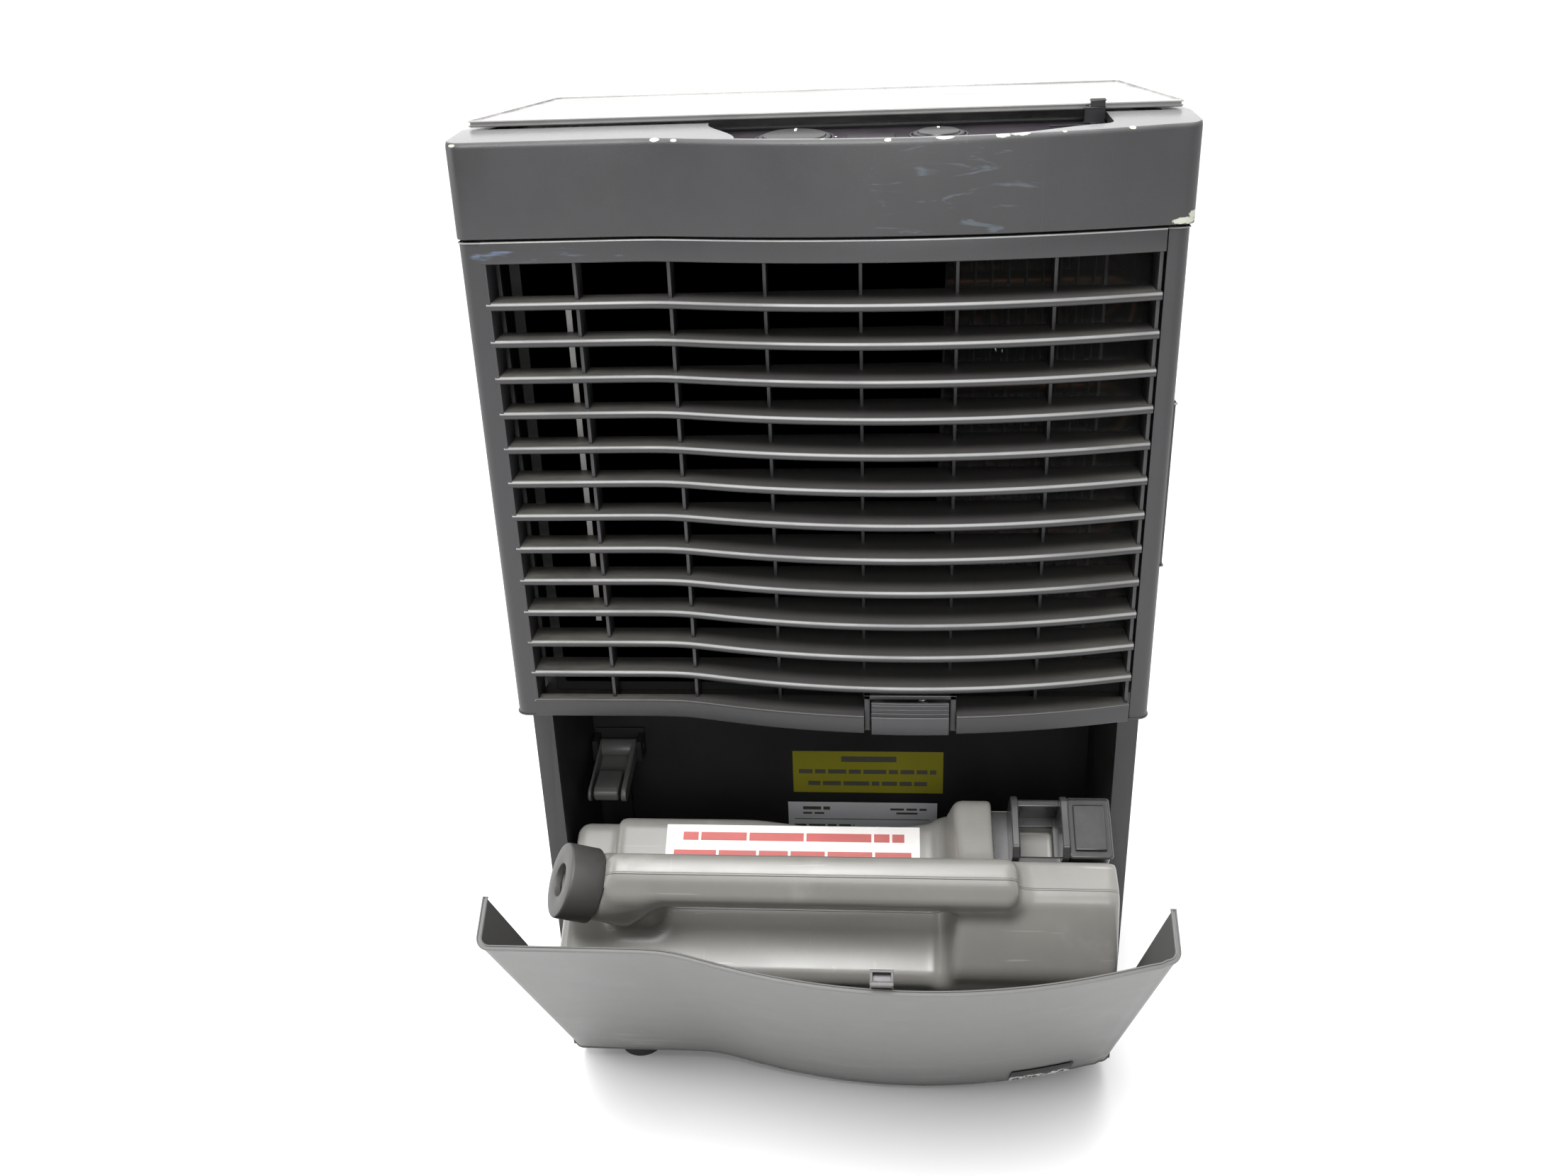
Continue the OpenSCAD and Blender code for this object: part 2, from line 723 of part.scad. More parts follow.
module container_label() {
    color("white") on_door() box([-98, 75, tank_top], [51, 102, tank_top + 0.3]);
}

module float_housing() {
    low = housing[0];
    high = housing[1];
    wall_x = [100, 127];
    color([0.12, 0.12, 0.125]) on_door() difference() {
        union() {
            box([low[0] - 2, low[1], low[2] - 1], [high[0], high[1], low[2] + 2]);
            for (x = wall_x) box([x, low[1] + 1, low[2]], [x + 4, high[1], high[2]]);
            box([wall_x[0], low[1] + 1, low[2]], [wall_x[1] + 4, low[1] + 5, low[2] + 17]);
            box([wall_x[0], high[1] - 4, low[2]], [wall_x[1] + 4, high[1], low[2] + 22]);
            box([wall_x[1] + 2, low[1] + 1, low[2]], [high[0] - 0.5, high[1], high[2] - 4]);
        }
        box([107, 77, low[2] - 2], [125, 97, low[2] + 3]);
        // chamber of the float, open to the container beneath
        box([133, low[1] + 4, low[2] + 1], [high[0] - 3, high[1] - 3, high[2] - 6]);
        translate([float_at[0], float_at[1], low[2] - 2]) cylinder(h = 5, r = 6);
    }
}

module float() {
    color([0.85, 0.85, 0.83]) on_door() translate([float_at[0], float_at[1], housing[0][2] + 1.3])
        cylinder(h = 8, r = 8);
}

// ---- container bay fittings ----

module notice_label() {
    color([0.75, 0.7, 0.1]) in_case() box([-30, bay_back - 0.3, 157.5], [68.5, bay_back, 188.8]);
}

module rating_label() {
    color("white") in_case() box([-34, bay_back - 0.3, 118], [65, bay_back, 149.8]);
}

module at_lever() {
    in_case() translate([0, lever_pivot[0], lever_pivot[1]]) rotate([lever_drop, 0, 0]) children();
}

module lever_bracket() {
    color(black) in_case() difference() {
        union() {
            box([-158.5, 103, 189], [-155, bay_back, 203]);
            box([-130, 103, 189], [-126.5, bay_back, 203]);
            box([-158.5, bay_back - 2, 186], [-126.5, bay_back, 206]);
            box([-150, 112, 138], [-138, bay_back, 188]);
        }
        along_x(-160, lever_pivot[0], lever_pivot[1], 40, 2);
    }
}

module lever_pin() {
    color(metal) in_case() along_x(-158.3, lever_pivot[0], lever_pivot[1], 31.6, 2);
}

module interlock_lever() {
    color([0.2, 0.2, 0.2]) at_lever() difference() {
        union() {
            for (x = [[-154.4, 1.7], [-133.6, 3]]) {
                translate([x[0], -42, -5]) cube([x[1], 42, 10]);
                along_x(x[0], -42, 0, x[1], 5);
            }
            along_x(-154.4, 0, 0, 23.8, 5);
            translate([-153, -40, -5]) cube([20, 36, 1.6]);
            translate([-151, -42, -3.8]) cube([14.5, 18, 7.6]);
            along_x(-151, -42, 0, 14.5, 3.8);
        }
        along_x(-160, 0, 0, 40, 2 + run_gap);
    }
}

module microswitch() {
    color(black) in_case() {
        box([-152, bay_back + 2.5, 168], [-132, bay_back + 13, 196]);
        for (z = [172, 180, 188]) box([-143, bay_back + 13, z], [-141.6, bay_back + 20, z + 3]);
    }
}

// ---- cooling parts ----

module drip_tray() {
    color(black) in_case() difference() {
        union() {
            box([-150, 34, shroud_z], [150, 112, shroud_z + 12]);
            translate([drip_at[0], drip_at[1], 258]) cylinder(h = 24, r = 7);
        }
        box([-148, 36, shroud_z + 2], [148, 110, shroud_z + 13]);
        translate([drip_at[0], drip_at[1], 257]) cylinder(h = 28, r = 4.5);
    }
}

function run_z(i) = coil_run[0] + i * (coil_run[1] - coil_run[0]) / (run_count - 1);

// Thin upright fins, pierced by the tube runs
module fin_stack(depth) {
    pitch = (coil_x[1] - coil_x[0] - 12) / (fin_count - 1);
    difference() {
        for (i = [0:fin_count - 1])
            box([coil_x[0] + 6 + i * pitch, depth[0], coil_z[0]],
                [coil_x[0] + 6.8 + i * pitch, depth[1], coil_z[1]]);
        for (i = [0:run_count - 1])
            along_x(coil_x[0], (depth[0] + depth[1]) / 2, run_z(i), coil_x[1] - coil_x[0], tube_r);
    }
}

// One tube that snakes up the coil, with a U bend let into the ends of each two runs
module coil_tube(depth) {
    y = (depth[0] + depth[1]) / 2;
    bend_r = (run_z(1) - run_z(0)) / 2;
    for (i = [0:run_count - 1]) along_x(coil_x[0] - 4, y, run_z(i), coil_x[1] - coil_x[0] + 8, tube_r);
    for (i = [0:run_count - 2]) {
        left = i % 2 == 1;
        translate([left ? coil_x[0] - 3 : coil_x[1] + 3, y, run_z(i) + bend_r])
            rotate([90, left ? -90 : 90, 0]) rotate_extrude(angle = 180)
                translate([bend_r, 0]) circle(tube_r - 0.3, $fn = 32);
    }
    for (i = [0, run_count - 1]) along_x(stub_x, y, run_z(i), 6, tube_r - 0.3);
}

module evaporator_fins() {
    color([0.7, 0.71, 0.72]) in_case() fin_stack(evaporator_y);
}

module condenser_fins() {
    color([0.7, 0.71, 0.72]) in_case() fin_stack(condenser_y);
}

module evaporator_tube() {
    color(copper) in_case() coil_tube(evaporator_y);
}

module condenser_tube() {
    color(copper) in_case() coil_tube(condenser_y);
}

module coil_end_plates() {
    color(metal) in_case() for (x = [coil_x[0], coil_x[1] - 1.5]) difference() {
        box([x, 36.5, shroud_z + 2], [x + 1.5, 108, coil_z[1] + 4]);
        for (depth = [evaporator_y, condenser_y], i = [0:run_count - 1])
            along_x(x - 1, (depth[0] + depth[1]) / 2, run_z(i), 4, tube_r);
    }
}

module fan_shroud() {
    color(black) in_case() difference() {
        union() {
            box([-168, 122, shroud_z], [168, 125, shroud_top - 2]);
            along_y(0, 125, fan_z, 26, fan_r + 7);
            for (x = [-84, 84], z = [-84, 84]) along_y(x, 125, fan_z + z, 51, 5);
        }
        along_y(0, 120, fan_z, 40, fan_r + 4);
        for (x = [-84, 84], z = [-84, 84]) along_y(x, 150, fan_z + z, 30, 1.8);
        along_y(suction_x, 120, coil_run[0], 10, 6);
        along_y(drier_at[0], 120, coil_run[0], 10, 4.2);
        along_y(discharge_x, 120, coil_run[1], 10, 6);
        along_y(capillary_x, 120, coil_run[1], 10, 3);
    }
}

module fan_blade() {
    color([0.3, 0.3, 0.32]) in_case() difference() {
        union() {
            along_y(0, 132, fan_z, 22, 24);
            intersection() {
                for (i = [0:blade_count - 1]) translate([0, 143, fan_z]) rotate([0, i * 360 / blade_count, 0])
                    rotate([0, 0, 28]) translate([-26, -1, 20]) cube([52, 2.2, 90]);
                along_y(0, 130, fan_z, 26, fan_r);
            }
        }
        along_y(0, 131, fan_z, 24, shaft_r);
        difference() {
            along_y(0, 136, fan_z, 20, 21);
            along_y(0, 135, fan_z, 22, 7);
        }
    }
}

module fan_motor() {
    color(metal) in_case() difference() {
        union() {
            along_y(0, 164, fan_z, 42, 38);
            along_y(0, 158, fan_z, 7, 12);
            along_y(0, 206, fan_z, 5, 12);
        }
        along_y(0, 150, fan_z, 50, shaft_r + run_gap);
    }
}

module motor_shaft() {
    color(metal) in_case() along_y(0, 130, fan_z, 68, shaft_r);
}

module motor_bracket() {
    color(metal) in_case() difference() {
        union() {
            for (a = [45, 135]) translate([0, 176, fan_z]) rotate([0, a, 0]) translate([-126, 0, -8])
                cube([252, 2.5, 16]);
            along_y(0, 176, fan_z, 8, 44);
        }
        along_y(0, 175, fan_z, 10, 38);
        for (x = [-84, 84], z = [-84, 84]) along_y(x, 170, fan_z + z, 12, 2.2);
    }
}

module motor_screws() {
    color(metal) in_case() for (x = [-84, 84], z = [-84, 84]) {
        along_y(x, 178.5, fan_z + z, 3, 4);
        along_y(x, 164, fan_z + z, 14.6, 1.7);
    }
}

module compressor() {
    color(black) in_case() translate([compressor_at[0], compressor_at[1], 0]) union() {
        difference() {
            translate([0, 0, 26]) rotate_extrude() polygon(concat(
            [[0, 0], [42, 0], [compressor_r - 6, 8], [compressor_r, 22], [compressor_r, 80],
            [compressor_r + 2.5, 80], [compressor_r + 2.5, 86], [compressor_r, 86], [compressor_r, 128]],
            [for (a = [10:10:90]) [compressor_r * cos(a), 128 + 34 * sin(a)]]));
            // sockets of the two pipes
            translate([26, -18, 178]) cylinder(h = 20, r = 4);
            translate([-20, 12, 180]) cylinder(h = 20, r = 3.2);
        }
        difference() {
            for (y = [-46, 46]) box([-72, y - 14, 24], [72, y + 14, 27]);
            for (x = [-58, 58], y = [-46, 46]) translate([x, y, 20]) cylinder(h = 10, r = 6);
        }
    }
}

module compressor_grommets() {
    color([0.1, 0.1, 0.1]) in_case()
    for (p = grommet_places) translate([p[0], p[1], foot_h + 7]) difference() {
        union() {
            cylinder(h = 9, r = 10);
            cylinder(h = 12, r = 6);
            translate([0, 0, 12]) cylinder(h = 3, r = 9);
        }
        translate([0, 0, -1]) cylinder(h = 20, r = 3);
    }
}

module compressor_studs() {
    color(metal) in_case() for (p = grommet_places) translate([p[0], p[1], foot_h]) {
        cylinder(h = 26, r = 3);
        translate([0, 0, 22]) cylinder(h = 5, r = 5.5, $fn = 6);
    }
}

module terminal_cover() {
    color([0.15, 0.15, 0.16]) in_case() translate([compressor_at[0], compressor_at[1], 58]) difference() {
        box([compressor_r - 6, -18, 0], [compressor_r + 22, 18, 46]);
        translate([0, 0, -1]) cylinder(h = 48, r = compressor_r);
    }
}

module start_capacitor() {
    color([0.8, 0.8, 0.78]) in_case() {
        translate([92, 200, foot_h + 4]) cylinder(h = 78, r = 22);
        for (x = [86, 98]) translate([x, 200, foot_h + 82]) cylinder(h = 8, r = 2.5);
    }
}

module filter_drier() {
    color(copper) in_case() {
        translate([drier_at[0], drier_at[1], 102]) cylinder(h = 68, r = 10);
        translate([drier_at[0], drier_at[1], 92]) cylinder(h = 12, r = 2.5);
    }
}

module liquid_pipe() {
    color(copper) in_case() tube_path(liquid_route, 3, 5);
}

module suction_pipe() {
    color(copper) in_case() tube_path(suction_route, 4);
}

module discharge_pipe() {
    color(copper) in_case() tube_path(discharge_route, 3.2);
}

// Coils wound round the drier, and the riser to the evaporator
module capillary_tube() {
    coil_r = 12.8;
    color(copper) in_case() {
        for (i = [0:5]) translate([drier_at[0], drier_at[1], 100 + i * 3])
            rotate_extrude() translate([coil_r, 0]) circle(1.2, $fn = 24);
        tube_path(capillary_route, 1.2, 6);
    }
}

module cable_gland() {
    color(black) in_case() difference() {
        union() {
            along_y(124, case_d - 3, 60, 2.8, 12);
            along_y(124, case_d - 12, 60, 9, 8);
        }
        along_y(124, case_d - 13, 60, 14, 4.2);
    }
}

chassis();
base_pan();
feet();
container_bay_liner();
rear_cover();
rear_screws();
cowl();
lid();
front_grille();
filter_end_post();
filter_frame();
filter_mesh();
control_panel();
humidity_dial();
fan_dial();
humidistat();
fan_switch();
selector_lever();
circuit_board();
release_catch();
catch_spring();
door();
hinge_pins();
door_badge();
water_container();
spout_cap();
container_label();
float_housing();
float();
notice_label();
rating_label();
lever_bracket();
lever_pin();
interlock_lever();
microswitch();
drip_tray();
evaporator_fins();
evaporator_tube();
coil_end_plates();
condenser_fins();
condenser_tube();
fan_shroud();
fan_blade();
motor_shaft();
fan_motor();
motor_bracket();
motor_screws();
compressor();
compressor_grommets();
compressor_studs();
terminal_cover();
start_capacitor();
filter_drier();
liquid_pipe();
suction_pipe();
discharge_pipe();
capillary_tube();
cable_gland();
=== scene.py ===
"""Looks of the dehumidifier. Lengths below are in millimetres in the case's own axes: X to the right, Y to the
back from the flat of the front, Z up from the floor. They are turned into metres in the row frame as meshes are made.
"""
import json
import math

import bpy
import bmesh
import numpy as np
from mathutils import Matrix, Vector


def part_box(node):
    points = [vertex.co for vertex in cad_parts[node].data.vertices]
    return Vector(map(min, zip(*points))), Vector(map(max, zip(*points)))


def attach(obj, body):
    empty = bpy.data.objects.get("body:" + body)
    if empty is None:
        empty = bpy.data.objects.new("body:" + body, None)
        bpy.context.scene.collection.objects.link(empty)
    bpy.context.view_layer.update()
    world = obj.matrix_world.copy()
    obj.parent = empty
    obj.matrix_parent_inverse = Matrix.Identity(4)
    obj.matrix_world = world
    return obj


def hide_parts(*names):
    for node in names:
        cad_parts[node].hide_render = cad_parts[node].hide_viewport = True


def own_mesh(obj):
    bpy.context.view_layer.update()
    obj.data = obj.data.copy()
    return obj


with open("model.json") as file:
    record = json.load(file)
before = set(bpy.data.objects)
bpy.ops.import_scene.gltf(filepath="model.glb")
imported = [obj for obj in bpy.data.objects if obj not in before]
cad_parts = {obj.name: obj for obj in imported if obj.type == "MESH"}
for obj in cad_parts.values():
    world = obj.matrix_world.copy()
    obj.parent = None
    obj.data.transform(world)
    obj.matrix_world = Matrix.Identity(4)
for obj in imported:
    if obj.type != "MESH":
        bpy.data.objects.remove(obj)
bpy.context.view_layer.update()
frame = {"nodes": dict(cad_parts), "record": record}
nodes = frame["nodes"]
scene = bpy.context.scene

Y_MID = 262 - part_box("cowl")[1].y * 1000
OPEN = math.radians(36)
PIVOT = Vector((0, 47.7, 71.7))
MM = 0.001
CASE = Matrix.Translation((0, -Y_MID * MM, 0))
DOOR = CASE @ Matrix.Translation(PIVOT * MM) @ Matrix.Rotation(OPEN, 4, "X") @ Matrix.Translation(-PIVOT * MM)

# ---------------------------------------------------------------- the front's swell

HALF = 172.5
SWELL_X, SWELL_HALF, SWELL = 45.0, 120.0, 17.5
SWELL_R = (SWELL_HALF ** 2 + SWELL ** 2) / (2 * SWELL)


def wave(x):
    """How far the front stands forward at x, as a Y value. The flat runs smoothly into the swell."""
    d = abs(x - SWELL_X)
    y = SWELL_R - SWELL - math.sqrt(SWELL_R ** 2 - d * d)
    soft = 1.6
    return -soft * math.log1p(math.exp(-y / soft)) if y > -12 * soft else y


def corner(x, half, r):
    """Extra Y near the two ends of the width, for a rounded plan corner."""
    d = abs(x) - (half - r)
    return r - math.sqrt(max(r * r - d * d, 0)) if d > 0 else 0.0


def stations(x0, x1, step=4.0, half=None, r=7.0):
    xs = list(np.arange(x0, x1, step)) + [x1]
    if half:
        for side in (-1, 1):
            for a in np.linspace(0, math.pi / 2, 7):
                x = side * (half - r + r * math.sin(a))
                if x0 < x < x1:
                    xs.append(x)
    return sorted(set(round(x, 4) for x in xs))


# ---------------------------------------------------------------- mesh making


def make(name, verts, faces, slot, body, place=CASE, stands_for=(), smooth=35):
    mesh = bpy.data.meshes.new(name)
    mesh.from_pydata([Vector(v) * MM for v in verts], [], faces)
    mesh.validate()
    bm = bmesh.new()
    bm.from_mesh(mesh)
    bmesh.ops.recalc_face_normals(bm, faces=bm.faces)
    bm.to_mesh(mesh)
    bm.free()
    obj = bpy.data.objects.new(name, mesh)
    scene.collection.objects.link(obj)
    obj.matrix_world = place
    shade(obj, smooth)
    mesh.materials.append(MATS[slot])
    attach(obj, body)
    if stands_for:
        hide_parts(*stands_for)
    return obj


def shade(obj, angle):
    mesh = obj.data
    mesh.polygons.foreach_set("use_smooth", [True] * len(mesh.polygons))
    if hasattr(mesh, "set_sharp_from_angle"):
        mesh.set_sharp_from_angle(angle=math.radians(angle))
    mesh.update()


def join_parts(parts):
    """Several (verts, faces) lists as one."""
    verts, faces = [], []
    for v, f in parts:
        base = len(verts)
        verts += list(v)
        faces += [[i + base for i in face] for face in f]
    return verts, faces


def fillet(points, radii, seg=4):
    """A closed outline with rounded corners."""
    out = []
    n = len(points)
    for i, p in enumerate(points):
        r = radii[i] if isinstance(radii, (list, tuple)) else radii
        p = Vector(p)
        a, b = Vector(points[i - 1]) - p, Vector(points[(i + 1) % n]) - p
        if r <= 0 or a.length < 1e-6 or b.length < 1e-6:
            out.append(tuple(p))
            continue
        ang = a.angle(b)
        t = min(r / math.tan(ang / 2), a.length * 0.49, b.length * 0.49)
        p0, p1 = p + a.normalized() * t, p + b.normalized() * t
        for k in range(seg + 1):
            s = k / seg
            w = (1 - s) ** 2 + 2 * s * (1 - s) * math.sin(ang / 2) + s * s
            q = (p0 * (1 - s) ** 2 + p * (2 * s * (1 - s) * math.sin(ang / 2)) + p1 * s * s) / w
            out.append(tuple(q))
    return out


def sweep(xs, profile):
    """Closed (y, z) outlines, one at each x, joined along X and closed at both ends."""
    loops = [[(x, p[0], p[1]) for p in profile(x)] for x in xs]
    return loft(loops)


def loft(loops):
    n = len(loops[0])
    verts = [v for loop in loops for v in loop]
    faces = []
    for i in range(len(loops) - 1):
        for k in range(n):
            a, b = i * n + k, i * n + (k + 1) % n
            faces.append([a, b, b + n, a + n])
    faces.append(list(range(n))[::-1])
    faces.append([(len(loops) - 1) * n + k for k in range(n)])
    return verts, faces


def prism(outline, z0, z1, edge=0.0, seg=3):
    """An upright prism over an (x, y) outline, with its rims rounded in by edge."""
    pts = [Vector(p) for p in outline]
    n = len(pts)
    area = sum(pts[i].x * pts[(i + 1) % n].y - pts[(i + 1) % n].x * pts[i].y for i in range(n))
    sign = 1 if area > 0 else -1
    normals = []
    for i in range(n):
        d1 = (pts[i] - pts[i - 1]).normalized()
        d2 = (pts[(i + 1) % n] - pts[i]).normalized()
        n1, n2 = Vector((d1.y, -d1.x)) * sign, Vector((d2.y, -d2.x)) * sign
        m = (n1 + n2)
        m = m.normalized() if m.length > 1e-6 else n1
        c = max(m.dot(n1), 0.4)
        normals.append(m / c)
    loops = []

    def ring(z, inset):
        loops.append([(pts[i].x - normals[i].x * inset, pts[i].y - normals[i].y * inset, z) for i in range(n)])

    if edge > 0:
        for k in range(seg + 1):
            a = math.pi / 2 * k / seg
            ring(z0 + edge * (1 - math.sin(a)), edge * (1 - math.cos(a)))
        for k in range(seg + 1):
            a = math.pi / 2 * k / seg
            ring(z1 - edge * (1 - math.cos(a)), edge * (1 - math.sin(a)))
    else:
        ring(z0, 0)
        ring(z1, 0)
    return loft(loops)


def block(low, high, edge=0.4, seg=2):
    """A box with rounded edges."""
    x0, y0, z0 = low
    x1, y1, z1 = high
    e = min(edge, (x1 - x0) * 0.45, (y1 - y0) * 0.45, (z1 - z0) * 0.45)
    return prism(fillet([(x0, y0), (x1, y0), (x1, y1), (x0, y1)], e, seg), z0, z1, e, seg)


def turned(profile, seg=64, matrix=Matrix.Identity(4)):
    """A solid turned about Z from (radius, height) points."""
    verts, faces = [], []
    n = len(profile)
    for k in range(seg):
        a = 2 * math.pi * k / seg
        for r, z in profile:
            verts.append(tuple(matrix @ Vector((r * math.cos(a), r * math.sin(a), z))))
    for k in range(seg):
        for i in range(n):
            j = (i + 1) % n
            k2 = (k + 1) % seg
            faces.append([k * n + i, k2 * n + i, k2 * n + j, k * n + j])
    return verts, faces


def moved(part, matrix):
    return [tuple(matrix @ Vector(v)) for v in part[0]], part[1]


def boolean(obj, cutter, operation="DIFFERENCE"):
    """Cuts with an object made only for this, then removes it."""
    mod = obj.modifiers.new("cut", "BOOLEAN")
    mod.operation, mod.solver, mod.object = operation, "EXACT", cutter
    bpy.context.view_layer.update()
    dg = bpy.context.evaluated_depsgraph_get()
    mesh = bpy.data.meshes.new_from_object(obj.evaluated_get(dg))
    obj.modifiers.clear()
    old = obj.data
    obj.data = mesh
    bpy.data.meshes.remove(old)
    bpy.data.objects.remove(cutter)


def tool(parts, place=CASE):
    verts, faces = join_parts(parts)
    mesh = bpy.data.meshes.new("tool")
    mesh.from_pydata([Vector(v) * MM for v in verts], [], faces)
    bm = bmesh.new()
    bm.from_mesh(mesh)
    bmesh.ops.recalc_face_normals(bm, faces=bm.faces)
    bm.to_mesh(mesh)
    bm.free()
    obj = bpy.data.objects.new("tool", mesh)
    scene.collection.objects.link(obj)
    obj.matrix_world = place
    return obj


def bevel(obj, width, seg=2, angle=35):
    mod = obj.modifiers.new("edge", "BEVEL")
    mod.width, mod.segments = width * MM, seg
    mod.limit_method, mod.angle_limit = "ANGLE", math.radians(angle)
    mod.use_clamp_overlap = True
    mod.harden_normals = True
    mod.miter_outer = "MITER_ARC"


def edged(node, slot, body, width=0.5, angle=35, seg=2):
    """A copy of a CAD node with its edges rounded."""
    src = nodes[node]
    mesh = src.data.copy()
    mesh.name = node + "_look"
    bm = bmesh.new()
    bm.from_mesh(mesh)
    bmesh.ops.remove_doubles(bm, verts=bm.verts, dist=1e-6)
    bmesh.ops.dissolve_limit(bm, angle_limit=math.radians(1.0), verts=bm.verts, edges=bm.edges)
    bm.to_mesh(mesh)
    bm.free()
    mesh.materials.clear()
    mesh.materials.append(MATS[slot])
    obj = bpy.data.objects.new(node + "_look", mesh)
    scene.collection.objects.link(obj)
    shade(obj, 30)
    bevel(obj, width, seg, angle)
    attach(obj, body)
    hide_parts(node)
    return obj

# ---------------------------------------------------------------- materials


class Tree:
    """A short way to build one material's nodes."""

    def __init__(self, name):
        self.mat = bpy.data.materials.new(name)
        self.mat.use_nodes = True
        self.nt = self.mat.node_tree
        self.nt.nodes.clear()
        self.out = self.nt.nodes.new("ShaderNodeOutputMaterial")
        self.bsdf = self.nt.nodes.new("ShaderNodeBsdfPrincipled")
        self.nt.links.new(self.bsdf.outputs[0], self.out.inputs[0])
        self.coord = self.nt.nodes.new("ShaderNodeTexCoord")
        self.geo = self.nt.nodes.new("ShaderNodeNewGeometry")
        self.place = self.coord.outputs["Object"]

    def put(self, socket, value):
        if hasattr(value, "is_output"):
            self.nt.links.new(value, socket)
        elif isinstance(value, (tuple, list)) and len(value) == 3 and socket.type == "RGBA":
            socket.default_value = (*value, 1)
        else:
            socket.default_value = value

    def math(self, op, a, b=0.0, c=None, clamp=False):
        n = self.nt.nodes.new("ShaderNodeMath")
        n.operation, n.use_clamp = op, clamp
        self.put(n.inputs[0], a)
        self.put(n.inputs[1], b)
        if c is not None:
            self.put(n.inputs[2], c)
        return n.outputs[0]

    def vec(self, op, a, b=None, out=0):
        n = self.nt.nodes.new("ShaderNodeVectorMath")
        n.operation = op
        self.put(n.inputs[0], a)
        if b is not None:
            self.put(n.inputs[1], b)
        return n.outputs[out]

    def noise(self, scale, detail=3.0, rough=0.55, stretch=None, shift=(0, 0, 0), distort=0.0):
        v = self.place
        if stretch or shift != (0, 0, 0):
            m = self.nt.nodes.new("ShaderNodeMapping")
            self.put(m.inputs["Vector"], v)
            m.inputs["Scale"].default_value = stretch or (1, 1, 1)
            m.inputs["Location"].default_value = shift
            v = m.outputs[0]
        n = self.nt.nodes.new("ShaderNodeTexNoise")
        self.put(n.inputs["Vector"], v)
        n.inputs["Scale"].default_value = scale
        n.inputs["Detail"].default_value = detail
        n.inputs["Roughness"].default_value = rough
        n.inputs["Distortion"].default_value = distort
        return n.outputs[0]

    def ramp(self, value, low, high, to0=0.0, to1=1.0):
        n = self.nt.nodes.new("ShaderNodeMapRange")
        n.interpolation_type = "SMOOTHSTEP"
        self.put(n.inputs[0], value)
        for i, x in enumerate((low, high, to0, to1)):
            n.inputs[i + 1].default_value = x
        return n.outputs[0]

    def mix(self, fac, a, b):
        n = self.nt.nodes.new("ShaderNodeMix")
        n.data_type = "RGBA"
        self.put(n.inputs[0], fac)
        self.put(n.inputs[6], a)
        self.put(n.inputs[7], b)
        return n.outputs[2]

    def axis(self, i):
        n = self.nt.nodes.new("ShaderNodeSeparateXYZ")
        self.put(n.inputs[0], self.place)
        return n.outputs[i]

    def up(self):
        n = self.nt.nodes.new("ShaderNodeSeparateXYZ")
        self.put(n.inputs[0], self.geo.outputs["Normal"])
        return n.outputs[2]

    def facing(self, i):
        n = self.nt.nodes.new("ShaderNodeSeparateXYZ")
        self.put(n.inputs[0], self.geo.outputs["Normal"])
        return n.outputs[i]

    def bump(self, height, strength, distance, after=None):
        n = self.nt.nodes.new("ShaderNodeBump")
        n.inputs["Strength"].default_value = strength
        n.inputs["Distance"].default_value = distance
        self.put(n.inputs["Height"], height)
        if after is not None:
            self.put(n.inputs["Normal"], after)
        return n.outputs[0]

    def blob(self, centre, size, wobble, noise_scale=90):
        """1 inside an uneven patch about a place given in case millimetres, 0 outside."""
        c = [centre[0] * MM, centre[1] * MM, centre[2] * MM]
        d = self.vec("SUBTRACT", self.place, c)
        d = self.vec("DIVIDE", d, [s * MM for s in size])
        length = self.vec("LENGTH", d, out=1)
        n = self.noise(noise_scale, 4, 0.65)
        edge = self.math("MULTIPLY_ADD", n, wobble, -wobble / 2)
        return self.ramp(self.math("ADD", length, edge), 0.85, 1.0, 1.0, 0.0)

    def done(self, colour, rough, normal=None):
        self.put(self.bsdf.inputs["Base Color"], colour)
        self.put(self.bsdf.inputs["Roughness"], rough)
        if normal is not None:
            self.put(self.bsdf.inputs["Normal"], normal)
        return self.mat


def tint(c, k):
    return tuple(min(max(v * k, 0), 1) for v in c)


